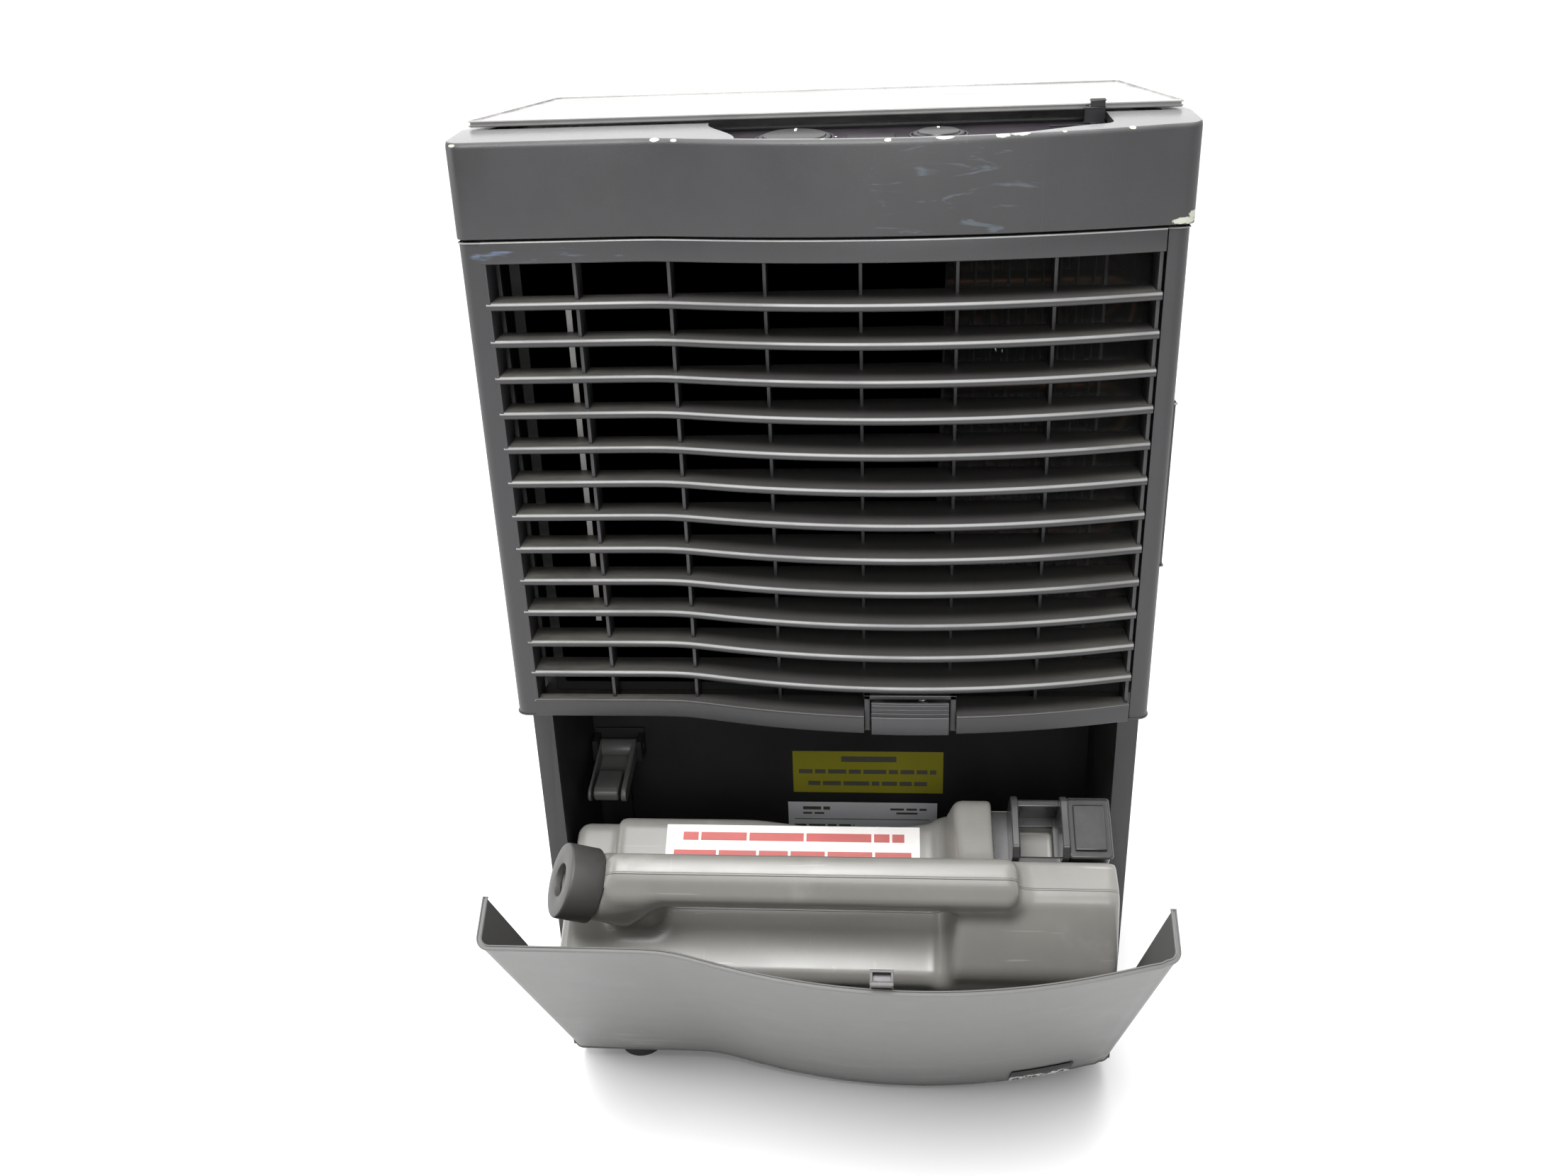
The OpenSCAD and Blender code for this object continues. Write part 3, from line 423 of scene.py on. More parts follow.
def surface(name, colour, rough=0.5, vary=0.12, grain=0.25, grain_scale=1500, dust=0.15, dust_colour=(0.16, 0.155, 0.14),
            scratches=0.15, metal=0.0, specular=0.5, extra=None, mottling=9, coat=0.0):
    t = Tree(name)
    large = t.noise(mottling, 4, 0.6)
    fine = t.noise(mottling * 9, 5, 0.65, shift=(3, 1, 7))
    col = t.mix(t.ramp(large, 0.3, 0.7), tint(colour, 1 - vary), tint(colour, 1 + vary))
    col = t.mix(t.math("MULTIPLY", t.ramp(fine, 0.45, 0.75), 0.35), col, tint(colour, 1 + 1.6 * vary))
    rgh = t.ramp(large, 0.25, 0.75, max(rough - 0.06, 0.03), min(rough + 0.07, 1))
    if scratches:
        a = t.ramp(t.noise(60, 2, 0.5, stretch=(0.25, 1, 9), distort=0.6), 0.68, 0.74)
        b = t.ramp(t.noise(45, 2, 0.5, stretch=(7, 1, 0.4), shift=(5, 2, 0), distort=0.8), 0.70, 0.76)
        mask = t.math("MULTIPLY", t.math("MAXIMUM", a, b), t.ramp(t.noise(14, 3, 0.6, shift=(9, 9, 1)), 0.45, 0.7))
        scr = t.math("MULTIPLY", mask, scratches)
        col = t.mix(scr, col, tint(colour, 2.4) if metal < 0.5 else tint(colour, 0.6))
    if dust:
        lying = t.ramp(t.up(), 0.25, 0.95)
        clumps = t.ramp(t.noise(38, 6, 0.7, shift=(1, 4, 2)), 0.38, 0.72, 0.15, 1.0)
        amount = t.math("MULTIPLY", t.math("MULTIPLY", lying, clumps), dust)
        col = t.mix(amount, col, dust_colour)
    t.bsdf.inputs["Metallic"].default_value = metal
    t.bsdf.inputs["Specular IOR Level"].default_value = specular
    if coat:
        t.bsdf.inputs["Coat Weight"].default_value = coat
        t.bsdf.inputs["Coat Roughness"].default_value = 0.12
    nrm = None
    if grain:
        nrm = t.bump(t.noise(grain_scale, 2, 0.5), grain, 0.00012)
        nrm = t.bump(t.noise(mottling * 3, 2, 0.5, shift=(2, 2, 2)), 0.05, 0.0015, nrm)
    if extra:
        col, rgh, nrm = extra(t, col, rgh, nrm)
    return t.done(col, rgh, nrm)


def cowl_wear_and_top_sheen(t, col, rgh, nrm):
    """Chips along the top front edge, a bigger one at the lower right corner, and blue-grey scuffs right of the middle.
    The upward faces are also painted light grey as a painted reflection, and made glossier.
    """
    chips = [((-73, 0, 579.6), (2.4, 4, 0.9)), ((-64, -3, 579.4), (1.6, 4, 0.7)), ((33, -17, 578.2), (2.0, 4, 0.8)),
             ((58, -17, 578.6), (5, 5, 0.9)), ((83, -15, 579.0), (3.6, 5, 1.5)), ((91, -14.5, 579.2), (5, 5, 1.0)),
             ((140, -6, 579.6), (1.8, 4, 0.8)), ((166, 1.5, 538.6), (7, 6, 1.7)), ((170, 4, 541), (2.4, 5, 2.4)),
             ((-168, 2, 579.4), (1.8, 4, 0.7)), ((4, -14, 579.2), (1.6, 4, 0.5)), ((110, -12, 579.3), (1.2, 4, 0.6))]
    mask = None
    for c, s in chips:
        b = t.blob(c, s, 1.1, 420)
        mask = b if mask is None else t.math("MAXIMUM", mask, b)
    scuff = t.noise(70, 3, 0.6, stretch=(0.35, 1, 2.2), shift=(0.2, 0, 0.5), distort=1.2)
    zone = t.blob((66, -16, 561), (46, 30, 17), 0.9, 40)
    zone2 = t.blob((60, -16, 543), (34, 30, 7), 0.9, 60)
    scuffs = t.math("MULTIPLY", t.math("MAXIMUM", zone, zone2), t.ramp(scuff, 0.56, 0.66))
    col = t.mix(t.math("MULTIPLY", scuffs, 0.4), col, (0.08, 0.108, 0.13))
    streak = t.ramp(t.noise(150, 2, 0.5, stretch=(0.12, 1, 1.5), shift=(0.7, 0, 0.1)), 0.70, 0.75)
    col = t.mix(t.math("MULTIPLY", t.math("MULTIPLY", streak, zone), 0.8), col, (0.35, 0.38, 0.42))
    # painted reflection: upward faces are lifted to light grey and made glossier
    top = t.ramp(t.up(), 0.9, 0.985)
    col = t.mix(t.math("MULTIPLY", top, 0.7), col, (0.24, 0.24, 0.243))
    rgh = t.math("SUBTRACT", rgh, t.math("MULTIPLY", top, 0.24), clamp=True)
    col = t.mix(t.math("MULTIPLY", mask, 0.85), col, (0.42, 0.43, 0.36))
    nrm = t.bump(t.math("SUBTRACT", 1.0, mask), 0.6, 0.0004, nrm)
    return col, rgh, nrm


def grille_dust_and_nose_highlight(t, col, rgh, nrm):
    """Dust that has gathered towards the ends of the slats, most at the left, a lighter grey on every upward face, a
    painted highlight along the slat noses, and blue rubs on the left of the top bar.
    """
    left = t.ramp(t.axis(0), -0.16, -0.02, 1.0, 0.0)
    right = t.ramp(t.axis(0), 0.09, 0.16, 0.0, 0.7)
    lying = t.ramp(t.up(), 0.4, 0.98)
    n = t.ramp(t.noise(60, 6, 0.75, stretch=(0.5, 1.5, 1)), 0.35, 0.7)
    amount = t.math("MULTIPLY", t.math("MULTIPLY", t.math("MAXIMUM", left, right), lying), n)
    col = t.mix(t.math("MULTIPLY", t.ramp(t.up(), 0.75, 0.97), 0.6), col, (0.07, 0.068, 0.064))
    # painted highlight: the rounded, front-facing slat noses are lifted to light grey, broken up by noise
    nose = t.math("MULTIPLY", t.ramp(t.up(), 0.12, 0.45), t.ramp(t.up(), 0.8, 0.97, 1.0, 0.0))
    front = t.ramp(t.facing(1), -0.55, -0.25, 1.0, 0.0)
    nose_highlight_breakup = t.ramp(t.noise(24, 4, 0.6, stretch=(0.5, 1, 1), shift=(4, 4, 4)), 0.3, 0.6, 0.55, 1.0)
    col = t.mix(t.math("MULTIPLY", t.math("MULTIPLY", t.math("MULTIPLY", nose, front), nose_highlight_breakup), 0.75), col, (0.28, 0.285, 0.28))
    col = t.mix(t.math("MULTIPLY", amount, 0.6), col, (0.12, 0.117, 0.098))
    zone = t.blob((-128, 0, 529), (38, 6, 3.6), 0.8, 90)
    rub = t.ramp(t.noise(110, 3, 0.6, stretch=(0.25, 1, 2.0)), 0.52, 0.64)
    col = t.mix(t.math("MULTIPLY", t.math("MULTIPLY", zone, rub), 0.6), col, (0.10, 0.14, 0.22))
    return col, rgh, nrm


def lid_sheen_and_dust_streaks(t, col, rgh, nrm):
    """Painted reflection and wiped dust on the charcoal lid: long light grey streaks, weaker near its front edge."""
    s = t.ramp(t.noise(22, 5, 0.65, stretch=(0.35, 2.2, 1), distort=0.5), 0.36, 0.66)
    front = t.ramp(t.axis(1), 0.036, 0.05, 0.3, 1.0)
    col = t.mix(t.math("MULTIPLY", t.math("MULTIPLY", s, front), 0.75), col, (0.5, 0.495, 0.48))
    return col, rgh, nrm


def tank_marks(t, col, rgh, nrm):
    """The moulding's parting line, faint scratches and old water marks."""
    seam = t.ramp(t.math("ABSOLUTE", t.math("SUBTRACT", t.axis(1), 52 * MM)), 0.0003, 0.0008, 1.0, 0.0)
    nrm = t.bump(seam, 0.8, 0.0006, nrm)
    col = t.mix(t.math("MULTIPLY", seam, 0.22), col, (0.08, 0.077, 0.07))
    marks = t.ramp(t.noise(26, 5, 0.7, stretch=(1, 1, 0.5), distort=0.4), 0.55, 0.75)
    col = t.mix(t.math("MULTIPLY", marks, 0.16), col, (0.42, 0.41, 0.38))
    scr = t.ramp(t.noise(80, 2, 0.5, stretch=(0.15, 4, 4), distort=0.5), 0.69, 0.73)
    col = t.mix(t.math("MULTIPLY", scr, 0.25), col, (0.5, 0.49, 0.47))
    rgh = t.math("ADD", rgh, t.math("MULTIPLY", marks, 0.12), clamp=True)
    return col, rgh, nrm


def door_marks(t, col, rgh, nrm):
    rub = t.ramp(t.noise(34, 4, 0.6, stretch=(0.35, 1, 1.6), distort=0.8), 0.55, 0.72)
    low = t.ramp(t.axis(2), 0.04, 0.11, 1.0, 0.15)
    col = t.mix(t.math("MULTIPLY", t.math("MULTIPLY", rub, low), 0.3), col, (0.36, 0.36, 0.36))
    return col, rgh, nrm


def badge_specks(t, col, rgh, nrm):
    """Worn bright marks along the badge's lower half."""
    s = t.ramp(t.noise(420, 3, 0.6, stretch=(1, 1, 0.5)), 0.47, 0.55)
    band = t.ramp(t.axis(2), 0.048, 0.053, 1.0, 0.0)
    return t.mix(t.math("MULTIPLY", s, band), col, (0.62, 0.62, 0.58)), rgh, nrm


MATS = {
    "case_charcoal": surface("case_charcoal", (0.021, 0.0205, 0.022), 0.46, 0.15, 0.5, 1500, 0.15, scratches=0.16, extra=cowl_wear_and_top_sheen),
    "chassis_charcoal": surface("chassis_charcoal", (0.028, 0.0275, 0.029), 0.5, 0.16, 0.5, 1500, 0.15, scratches=0.2),
    "grille_charcoal": surface("grille_charcoal", (0.02, 0.0195, 0.021), 0.42, 0.1, 0.45, 1500, 0.16, scratches=0.05, extra=grille_dust_and_nose_highlight),
    # the lid's light grey base colour is a painted reflection on charcoal plastic
    "lid_charcoal": surface("lid_charcoal", (0.215, 0.213, 0.209), 0.24, 0.12, 0.12, 1500, 0.45, (0.42, 0.41, 0.39), specular=0.8, extra=lid_sheen_and_dust_streaks),
    "door_grey": surface("door_grey", (0.11, 0.11, 0.107), 0.5, 0.08, 0.5, 1500, 0.1, scratches=0.14, extra=door_marks),
    "black_plastic": surface("black_plastic", (0.015, 0.015, 0.0155), 0.55, 0.15, 0.3, 1200, 0.12, (0.05, 0.048, 0.042), scratches=0.05),
    "catch_black": surface("catch_black", (0.028, 0.028, 0.03), 0.4, 0.12, 0.35, 1500, 0.1, scratches=0.2),
    "tank_grey": surface("tank_grey", (0.2, 0.195, 0.18), 0.33, 0.06, 0.2, 900, 0.08, (0.3, 0.29, 0.27), scratches=0.16, extra=tank_marks),
    "cap_plastic": surface("cap_plastic", (0.043, 0.042, 0.04), 0.5, 0.12, 0.35, 1300, 0.15, scratches=0.2),
    "housing_smoke": surface("housing_smoke", (0.036, 0.035, 0.036), 0.22, 0.12, 0.1, 1300, 0.25, (0.1, 0.1, 0.1)),
    "float_foam": surface("float_foam", (0.75, 0.75, 0.72), 0.8, 0.05, 0.6, 900, 0.05),
    "lever_grey": surface("lever_grey", (0.13, 0.13, 0.125), 0.4, 0.12, 0.3, 1300, 0.12, scratches=0.2),
    "white_label": surface("white_label", (0.78, 0.76, 0.74), 0.45, 0.04, 0.0, dust=0.1, dust_colour=(0.5, 0.49, 0.46), scratches=0.1),
    "rating_label": surface("rating_label", (0.86, 0.87, 0.9), 0.45, 0.05, 0.0, dust=0.0, scratches=0.1),
    "yellow_label": surface("yellow_label", (0.3, 0.275, 0.022), 0.42, 0.07, 0.0, dust=0.0, scratches=0.15),
    "label_red": surface("label_red", (0.5, 0.09, 0.08), 0.5, 0.15, 0.0, dust=0.0, scratches=0.2),
    "label_dark": surface("label_dark", (0.09, 0.09, 0.07), 0.5, 0.15, 0.0, dust=0.0, scratches=0.2),
    "badge_silver": surface("badge_silver", (0.012, 0.012, 0.012), 0.55, 0.1, 0.2, dust=0.0, extra=badge_specks),
    "rubber": surface("rubber", (0.02, 0.02, 0.02), 0.75, 0.15, 0.4, 800, 0.2),
    "panel_black": surface("panel_black", (0.022, 0.018, 0.024), 0.3, 0.12, 0.1, 1300, 0.12, scratches=0.2),
    "dial_black": surface("dial_black", (0.02, 0.02, 0.022), 0.38, 0.12, 0.2, 1300, 0.15, scratches=0.2),
    "mark_white": surface("mark_white", (0.75, 0.75, 0.73), 0.5, 0.05, 0.0, dust=0.0, scratches=0.0),
    "filter_mesh": surface("filter_mesh", (0.022, 0.022, 0.021), 0.9, 0.2, 0.8, 1600, 0.0, specular=0.05),
    "steel": surface("steel", (0.55, 0.55, 0.54), 0.38, 0.08, 0.25, 900, 0.2, metal=1.0, scratches=0.3),
    "compressor_black": surface("compressor_black", (0.014, 0.014, 0.015), 0.25, 0.1, 0.2, 700, 0.2, coat=0.4),
    "copper": surface("copper", (0.5, 0.24, 0.13), 0.38, 0.14, 0.15, 700, 0.15, metal=1.0, scratches=0.3),
    "fin_aluminium": surface("fin_aluminium", (0.3, 0.305, 0.3), 0.5, 0.08, 0.2, 900, 0.2, metal=0.9, scratches=0.2),
    "motor_metal": surface("motor_metal", (0.3, 0.31, 0.32), 0.4, 0.08, 0.25, 900, 0.2, metal=0.6),
    "circuit_green": surface("circuit_green", (0.02, 0.11, 0.04), 0.4, 0.1, 0.2, 900, 0.15),
    "ivory_plastic": surface("ivory_plastic", (0.55, 0.53, 0.47), 0.5, 0.06, 0.2, 1200, 0.15),
    "capacitor_shell": surface("capacitor_shell", (0.6, 0.6, 0.58), 0.35, 0.06, 0.2, 900, 0.15, metal=0.8),
}

MATS["filter_mesh"].node_tree.nodes["Principled BSDF"].inputs["Alpha"].default_value = 0.62
MATS["flange"] = surface("flange", (0.34, 0.335, 0.32), 0.5, 0.1, 0.1, 900, 0.1, scratches=0.1)
MATS["filter_black"] = surface("filter_black", (0.016, 0.016, 0.0155), 0.7, 0.15, 0.3, 1200, 0.1, (0.03, 0.03, 0.028), scratches=0.0, specular=0.2)

# ---------------------------------------------------------------- cowl and lid

COWL_Z, COWL_TOP, LID_FRONT, LID_BACK = 536.7, 583.7, 34.0, 222.0
SLOPE = math.radians(5.7)


def cowl_section(x):
    """Outline of the cowl at one place across: front face, soft top edge, slope, flat top and back."""
    f = wave(x) + corner(x, HALF, 7)
    top_at = lambda y: COWL_TOP - (LID_FRONT - y) * math.tan(SLOPE) if y < LID_FRONT else COWL_TOP
    pts = [(f, COWL_Z), (f, top_at(f)), (LID_FRONT, COWL_TOP), (262 - corner(x, HALF, 3), COWL_TOP),
           (262 - corner(x, HALF, 3), COWL_Z)]
    return fillet(pts, [0.9, 3.2, 1.0, 2.0, 0.9], 5)


cowl = make("cowl_look", *sweep(stations(-HALF, HALF, 5, HALF, 7), cowl_section), "case_charcoal", "root",
            stands_for=["cowl"])


def recess_outline(rim, back, low=-52.0, high=134.0):
    """Plan of the control recess: it sweeps out to the front edge on the left and tapers back on the right."""
    ease = lambda t: t * t * (3 - 2 * t)
    pts = [(low, back), (low, 31)]
    for k in range(1, 11):
        t = k / 10
        x = low + 16 * ease(t)
        pts.append((x, 31 * (1 - t) + (wave(x) + rim) * t))
    for x in np.arange(low + 20, 84, 4):
        pts.append((x, wave(x) + rim))
    for k in range(13):
        t = k / 12
        x = 84 + 44 * t
        pts.append((x, wave(x) + rim + 10 * ease(t)))
    for k in range(1, 6):
        a = math.pi / 2 * k / 5
        pts.append((128 + 6 * math.sin(a), wave(128) + rim + 16 - 6 * math.cos(a)))
    pts.append((high, back))
    return pts


# the swept body is solid, so it is hollowed, and the recess is cut with a soft upper rim
hollow = prism([(-169.3, 30), (169.3, 30), (169.3, 256), (-169.3, 256)], COWL_Z - 3, COWL_TOP - 4)
boolean(cowl, tool([hollow]))
boolean(cowl, tool([prism(recess_outline(3.6, 46), COWL_TOP - 14, COWL_TOP + 10)]))
boolean(cowl, tool([block((-160, 34.4, COWL_TOP - 3), (160, 215, COWL_TOP + 3), 0)]))
shade(cowl, 30)
bevel(cowl, 0.7, 2, 40)


lid_parts = [prism(fillet([(-169.5, LID_FRONT), (169.5, LID_FRONT), (169.5, LID_BACK), (-169.5, LID_BACK)], [2, 2, 5, 5], 5),
                   584.8, 588.0, 0.9, 3),
             block((-159, 50, 581.0), (159, 213, 585.0), 0.2)]
lid = make("lid_look", *join_parts(lid_parts), "lid_charcoal", "root", stands_for=["lid"])
boolean(lid, tool([block((110 + i * 6.5, LID_BACK - 36, 585.6), (113.5 + i * 6.5, LID_BACK - 12, 590), 0.9) for i in range(6)]))
shade(lid, 30)

# ---------------------------------------------------------------- front grille

SH_Z, SH_TOP, OPEN_Z, OPEN_TOP = 280.0, 535.7, 289.9, 525.1
POST_X, RIGHT_X = -HALF + 12.8, HALF - 12.8 - 0.3
PITCH = (OPEN_TOP - OPEN_Z) / 13


def bar_section(z0, z1, back, r):
    return lambda x: fillet([(wave(x), z0), (wave(x), z1), (back, z1), (back, z0)], [r, r, 0.3, 0.3], 4)


def plan_corner(half, back, inner, r=7.0, t=3.0, side=-1):
    """Plan of an L-shaped post with a rounded outer corner, on the left or the right."""
    pts = [(inner, 0.0)]
    for k in range(9):
        a = math.pi / 2 * k / 8
        pts.append((side * (half - r + r * math.sin(a)), r - r * math.cos(a)))
    pts += [(side * half, back), (side * (half - t), back)]
    for k in range(7):
        a = math.pi / 2 * (1 - k / 6)
        q = r - t
        pts.append((side * (half - r + q * math.sin(a)), r - q * math.cos(a)))
    pts.append((inner, t))
    return pts


frame_parts = [
    prism(plan_corner(HALF, 28.0, POST_X), SH_Z, SH_TOP, 0.7, 2),
    sweep(stations(POST_X - 0.9, RIGHT_X, 5), bar_section(OPEN_TOP, SH_TOP, 19, 0.9)),
    sweep(stations(POST_X - 0.9, 20, 5), bar_section(SH_Z, OPEN_Z, 8, 0.9)),
    sweep(stations(68.4, RIGHT_X, 5), bar_section(SH_Z, OPEN_Z, 8, 0.9)),
    block((POST_X - 1, 0.1, SH_Z + 0.6), (POST_X + 1.5, 17, SH_TOP - 0.6), 0.3),
    block((RIGHT_X - 2.5, 0.4, SH_Z + 0.6), (RIGHT_X, 17, SH_TOP - 0.6), 0.4),
    block((POST_X - 1, 7, SH_Z), (RIGHT_X, 28, 285.5), 0.4),
    block((20, -13.4, SH_Z), (23.4, 6, 301), 0.3), block((65, -13.4, SH_Z), (68.4, 6, 301), 0.3),
    block((20, -13.4, 298.6), (68.4, 6, 301), 0.3), block((20, -3.9, SH_Z), (68.4, 6, 299), 0.3),
]
# short bright ledge that runs along the bottom bar's upper edge
frame_parts.append(sweep(stations(POST_X - 0.5, 20, 5), lambda x: fillet(
    [(wave(x) - 0.0, OPEN_Z - 1.0), (wave(x), OPEN_Z + 0.6), (wave(x) + 2.2, OPEN_Z + 0.6), (wave(x) + 2.2, OPEN_Z - 1.0)], 0.35, 2)))
frame_parts.append(sweep(stations(68.4, RIGHT_X, 5), lambda x: fillet(
    [(wave(x) - 0.0, OPEN_Z - 1.0), (wave(x), OPEN_Z + 0.6), (wave(x) + 2.2, OPEN_Z + 0.6), (wave(x) + 2.2, OPEN_Z - 1.0)], 0.35, 2)))


def slat_section(z):
    def at(x):
        y = wave(x)
        return fillet([(y, z - 4.2), (y, z - 0.2), (17, z), (17, z - 1.8), (y + 5.0, z - 2.1), (y + 3.4, z - 4.2)],
                      [1.9, 1.9, 0.3, 0.3, 1.2, 1.0], 5)
    return at


for i in range(1, 13):
    frame_parts.append(sweep(stations(POST_X - 0.9, RIGHT_X, 4), slat_section(OPEN_Z + i * PITCH)))
for i in range(6):
    x = -118 + i * 228 / 5
    frame_parts.append(block((x, 4, SH_Z + 1), (x + 2.2, 17, SH_TOP - 5), 0.3))
grille = make("front_grille_look", *join_parts(frame_parts), "grille_charcoal", "root", stands_for=["front_grille"], smooth=32)

end_parts = [prism(plan_corner(HALF - 1, 27.7, RIGHT_X + 0.4, side=1), SH_Z, SH_TOP, 0.7, 2),
             block((HALF - 3, 5, SH_Z + 86), (HALF, 26, SH_Z + 172), 0.9, 3)]
make("filter_end_post_look", *join_parts(end_parts), "grille_charcoal", "filter", stands_for=["filter_end_post"], smooth=32)

# ---------------------------------------------------------------- release catch

CATCH = (24.0, 64.4)


def catch_band(y0, z0, z1, r):
    return sweep(stations(CATCH[0], CATCH[1], 4), lambda x: fillet(
        [(wave(x) + y0, z0), (wave(x) + y0, z1), (wave(x) + 2.4, z1), (wave(x) + 2.4, z0)], [r, r, 0.2, 0.2], 3))


catch_parts = [catch_band(0.0, 279.4, 289.9, 0.6), catch_band(1.0, 288.9, 298.0, 0.3)]
catch_parts += [catch_band(0.35, 291.3 + i * 2.3, 292.3 + i * 2.3, 0.3) for i in range(3)]
catch_parts += [block((46, -15.6, 282), (56, -10.2, 288), 0.3), block((41, -10.2, 282), (61, -7, 288), 0.3)]
make("release_catch_look", *join_parts(catch_parts), "catch_black", "catch", stands_for=["release_catch"], smooth=32)

# ---------------------------------------------------------------- door

DOOR_Z, DOOR_TOP, WING = 37.5, 277.0, 27.5


def front_line(offset, half, r, back):
    """The skin's plan as a line from the left wing's back edge to the right one's, set in by an offset."""
    pts = [(-half, back)]
    for k in range(9):
        a = math.pi / 2 * (1 - k / 8)
        pts.append((-(half - r + r * math.sin(a)), r - r * math.cos(a) + offset))
    for x in np.arange(-half + r + 4, half - r - 1, 4.0):
        pts.append((x, wave(x) + offset))
    for k in range(9):
        a = math.pi / 2 * k / 8
        pts.append((half - r + r * math.sin(a), r - r * math.cos(a) + offset))
    pts.append((half, back))
    return pts


skin = front_line(0, HALF, 7, WING) + front_line(3, HALF - 3, 4, WING)[::-1]
EAR_X, EAR_T = 156.8, 2.5
ear = fillet([(1, 37.5), (98, 37.5), (98, 52), (62, 84), (36, 90), (1, 112)], [0.5, 2, 6, 8, 8, 2], 4)
floor_plan = [(-159.3, 98), (-159.3, 1)] + [(x, wave(x) + 1) for x in np.arange(-156, 157, 6.0)] + [(159.3, 1), (159.3, 98)]
door_parts = [prism(skin, DOOR_Z, DOOR_TOP, 0.8, 3), prism(floor_plan, DOOR_Z, DOOR_Z + 3, 0.3, 2)]
for side in (-1, 1):
    xs = sorted([side * EAR_X, side * (EAR_X + EAR_T)])
    door_parts.append(sweep(xs, lambda x: ear))
door = make("door_look", *join_parts(door_parts), "door_grey", "door", DOOR, ["door"], smooth=32)
for side in (-1, 1):
    x0, x1 = sorted([side * (EAR_X + EAR_T), side * 190])
    boolean(door, tool([prism([(x0, 27.4), (x1, 27.4), (x1, 160), (x0, 160)], -60, 330)]))
bores = tool([moved(turned([(0.01, 0), (4.05, 0), (4.05, 6), (0.01, 6)], 40),
                    Matrix.Translation((x, 47.7, 71.7)) @ Matrix.Rotation(math.pi / 2, 4, "Y")) for x in (-161, 155)], DOOR)
boolean(door, bores)
shade(door, 32)
tab_parts = [block((23.8, -14.2, 271), (35.2, -11.9, 283.3), 0.5), block((23.8, -6.4, 271), (35.2, -5.0, 277), 0.3),
             block((23.8, -12.2, 271), (25.1, -6.1, 277), 0.3), block((33.9, -12.2, 271), (35.2, -6.1, 277), 0.3)]
make("striker_tab_look", *join_parts(tab_parts), "door_grey", "door", DOOR)
# painted shade: a dark floor inside the striker slot, so the hole reads dark
make("striker_slot_painted_shade", *block((24.6, -12.1, 271.2), (34.4, -6.2, 273.0), 0.1), "panel_black", "door", DOOR)
make("door_badge_look", *sweep(stations(108, 146, 3), lambda x: fillet(
    [(wave(x) - 0.5, 40.5), (wave(x) - 0.5, 64.5), (wave(x) + 0.1, 64.5), (wave(x) + 0.1, 40.5)], [0.3, 0.3, 0, 0], 2)),
    "badge_silver", "door", DOOR, ["door_badge"])

# ---------------------------------------------------------------- water container, blow moulded


def smin(a, b, k):
    h = np.clip(0.5 + 0.5 * (b - a) / k, 0, 1)
    return b * (1 - h) + a * h - k * h * (1 - h)


def smax(a, b, k):
    return -smin(-a, -b, k)


def box_field(x, y, z, low, high, r):
    c = [(a + b) / 2 for a, b in zip(low, high)]
    h = [(b - a) / 2 - r for a, b in zip(low, high)]
    q = [np.abs(v - m) - s for v, m, s in zip((x, y, z), c, h)]
    outside = np.sqrt(sum(np.maximum(v, 0) ** 2 for v in q))
    return outside + np.minimum(np.maximum(np.maximum(q[0], q[1]), q[2]), 0) - r


def plane(y, z, p, n):
    length = math.hypot(*n)
    return ((y - p[0]) * n[0] + (z - p[1]) * n[1]) / length


SPOUT = Matrix.Translation((-146.4, 52, 228.1)) @ Matrix.Rotation(math.radians(-58.7), 4, "Y")
AXIS = SPOUT.to_3x3() @ Vector((0, 0, 1))


def tank_field(x, y, z):
    main = box_field(x, y, z, (-155.5, 12, 41.1), (155.5, 108, 180), 8)
    scoop = np.hypot((x - 10) / 3.2, y - 124) - 22
    main = smax(main, -scoop, 4)
    low_corner = smax(smax(x + 128.5, 76 - y, 5), 167.5 - z, 5)
    main = smax(main, -low_corner, 6)
    tall = smax(plane(y, z, (12, 193.5), (-34, 36)), plane(y, z, (48, 227.5), (5, 20.9)), 5)
    tall = smax(tall, smax(12 - y, y - 108, 4), 6)
    lean = 64 + (z - 180) * 0.16
    tall = smax(tall, smax(lean - x, x - 155.5, 6), 6)
    tall = smax(tall, smax(41.1 - z, z - 227.6, 4), 6)
    body = smin(main, tall, 10)
    pillar = box_field(x, y, z, (-127, 38, 150), (-94, 66, 231), 9)
    bar = box_field(x, y, z, (-119, 39.5, 218.6), (101, 64.5, 242.4), 6.5)
    bar = smax(bar, plane(y, z, (50, 242.0), (-30, 36)), 3)
    body = smin(body, pillar, 7)
    body = smin(body, bar, 10)
    # spout neck along its own slanted line
    rx, ry, rz = x + 146.4, y - 52, z - 228.1
    along = rx * AXIS.x + rz * AXIS.z
    radial = np.sqrt(np.maximum((rx - along * AXIS.x) ** 2 + ry ** 2 + (rz - along * AXIS.z) ** 2, 0))
    shoulder = smax(radial - 18, along + 20.6, 3)
    shoulder = smax(shoulder, -44 - along, 6)
    body = smin(body, shoulder, 8)
    body = np.maximum(body, -np.maximum(radial - 21.6, -19.6 - along))
    neck = np.maximum(np.maximum(radial - 13.3, along + 4.2), -46 - along)
    body = np.minimum(body, neck)
    body = np.maximum(body, -np.maximum(radial - 11.2, -34 - along))
    # recess for the float housing
    recess = smax(smax(90.4 - x, 68.8 - y, 2), 195 - z, 2)
    body = smax(body, -recess, 2.5)
    # well under the housing's inlet
    return np.maximum(body, -box_field(x, y, z, (106, 76, 186), (126, 98, 210), 1))


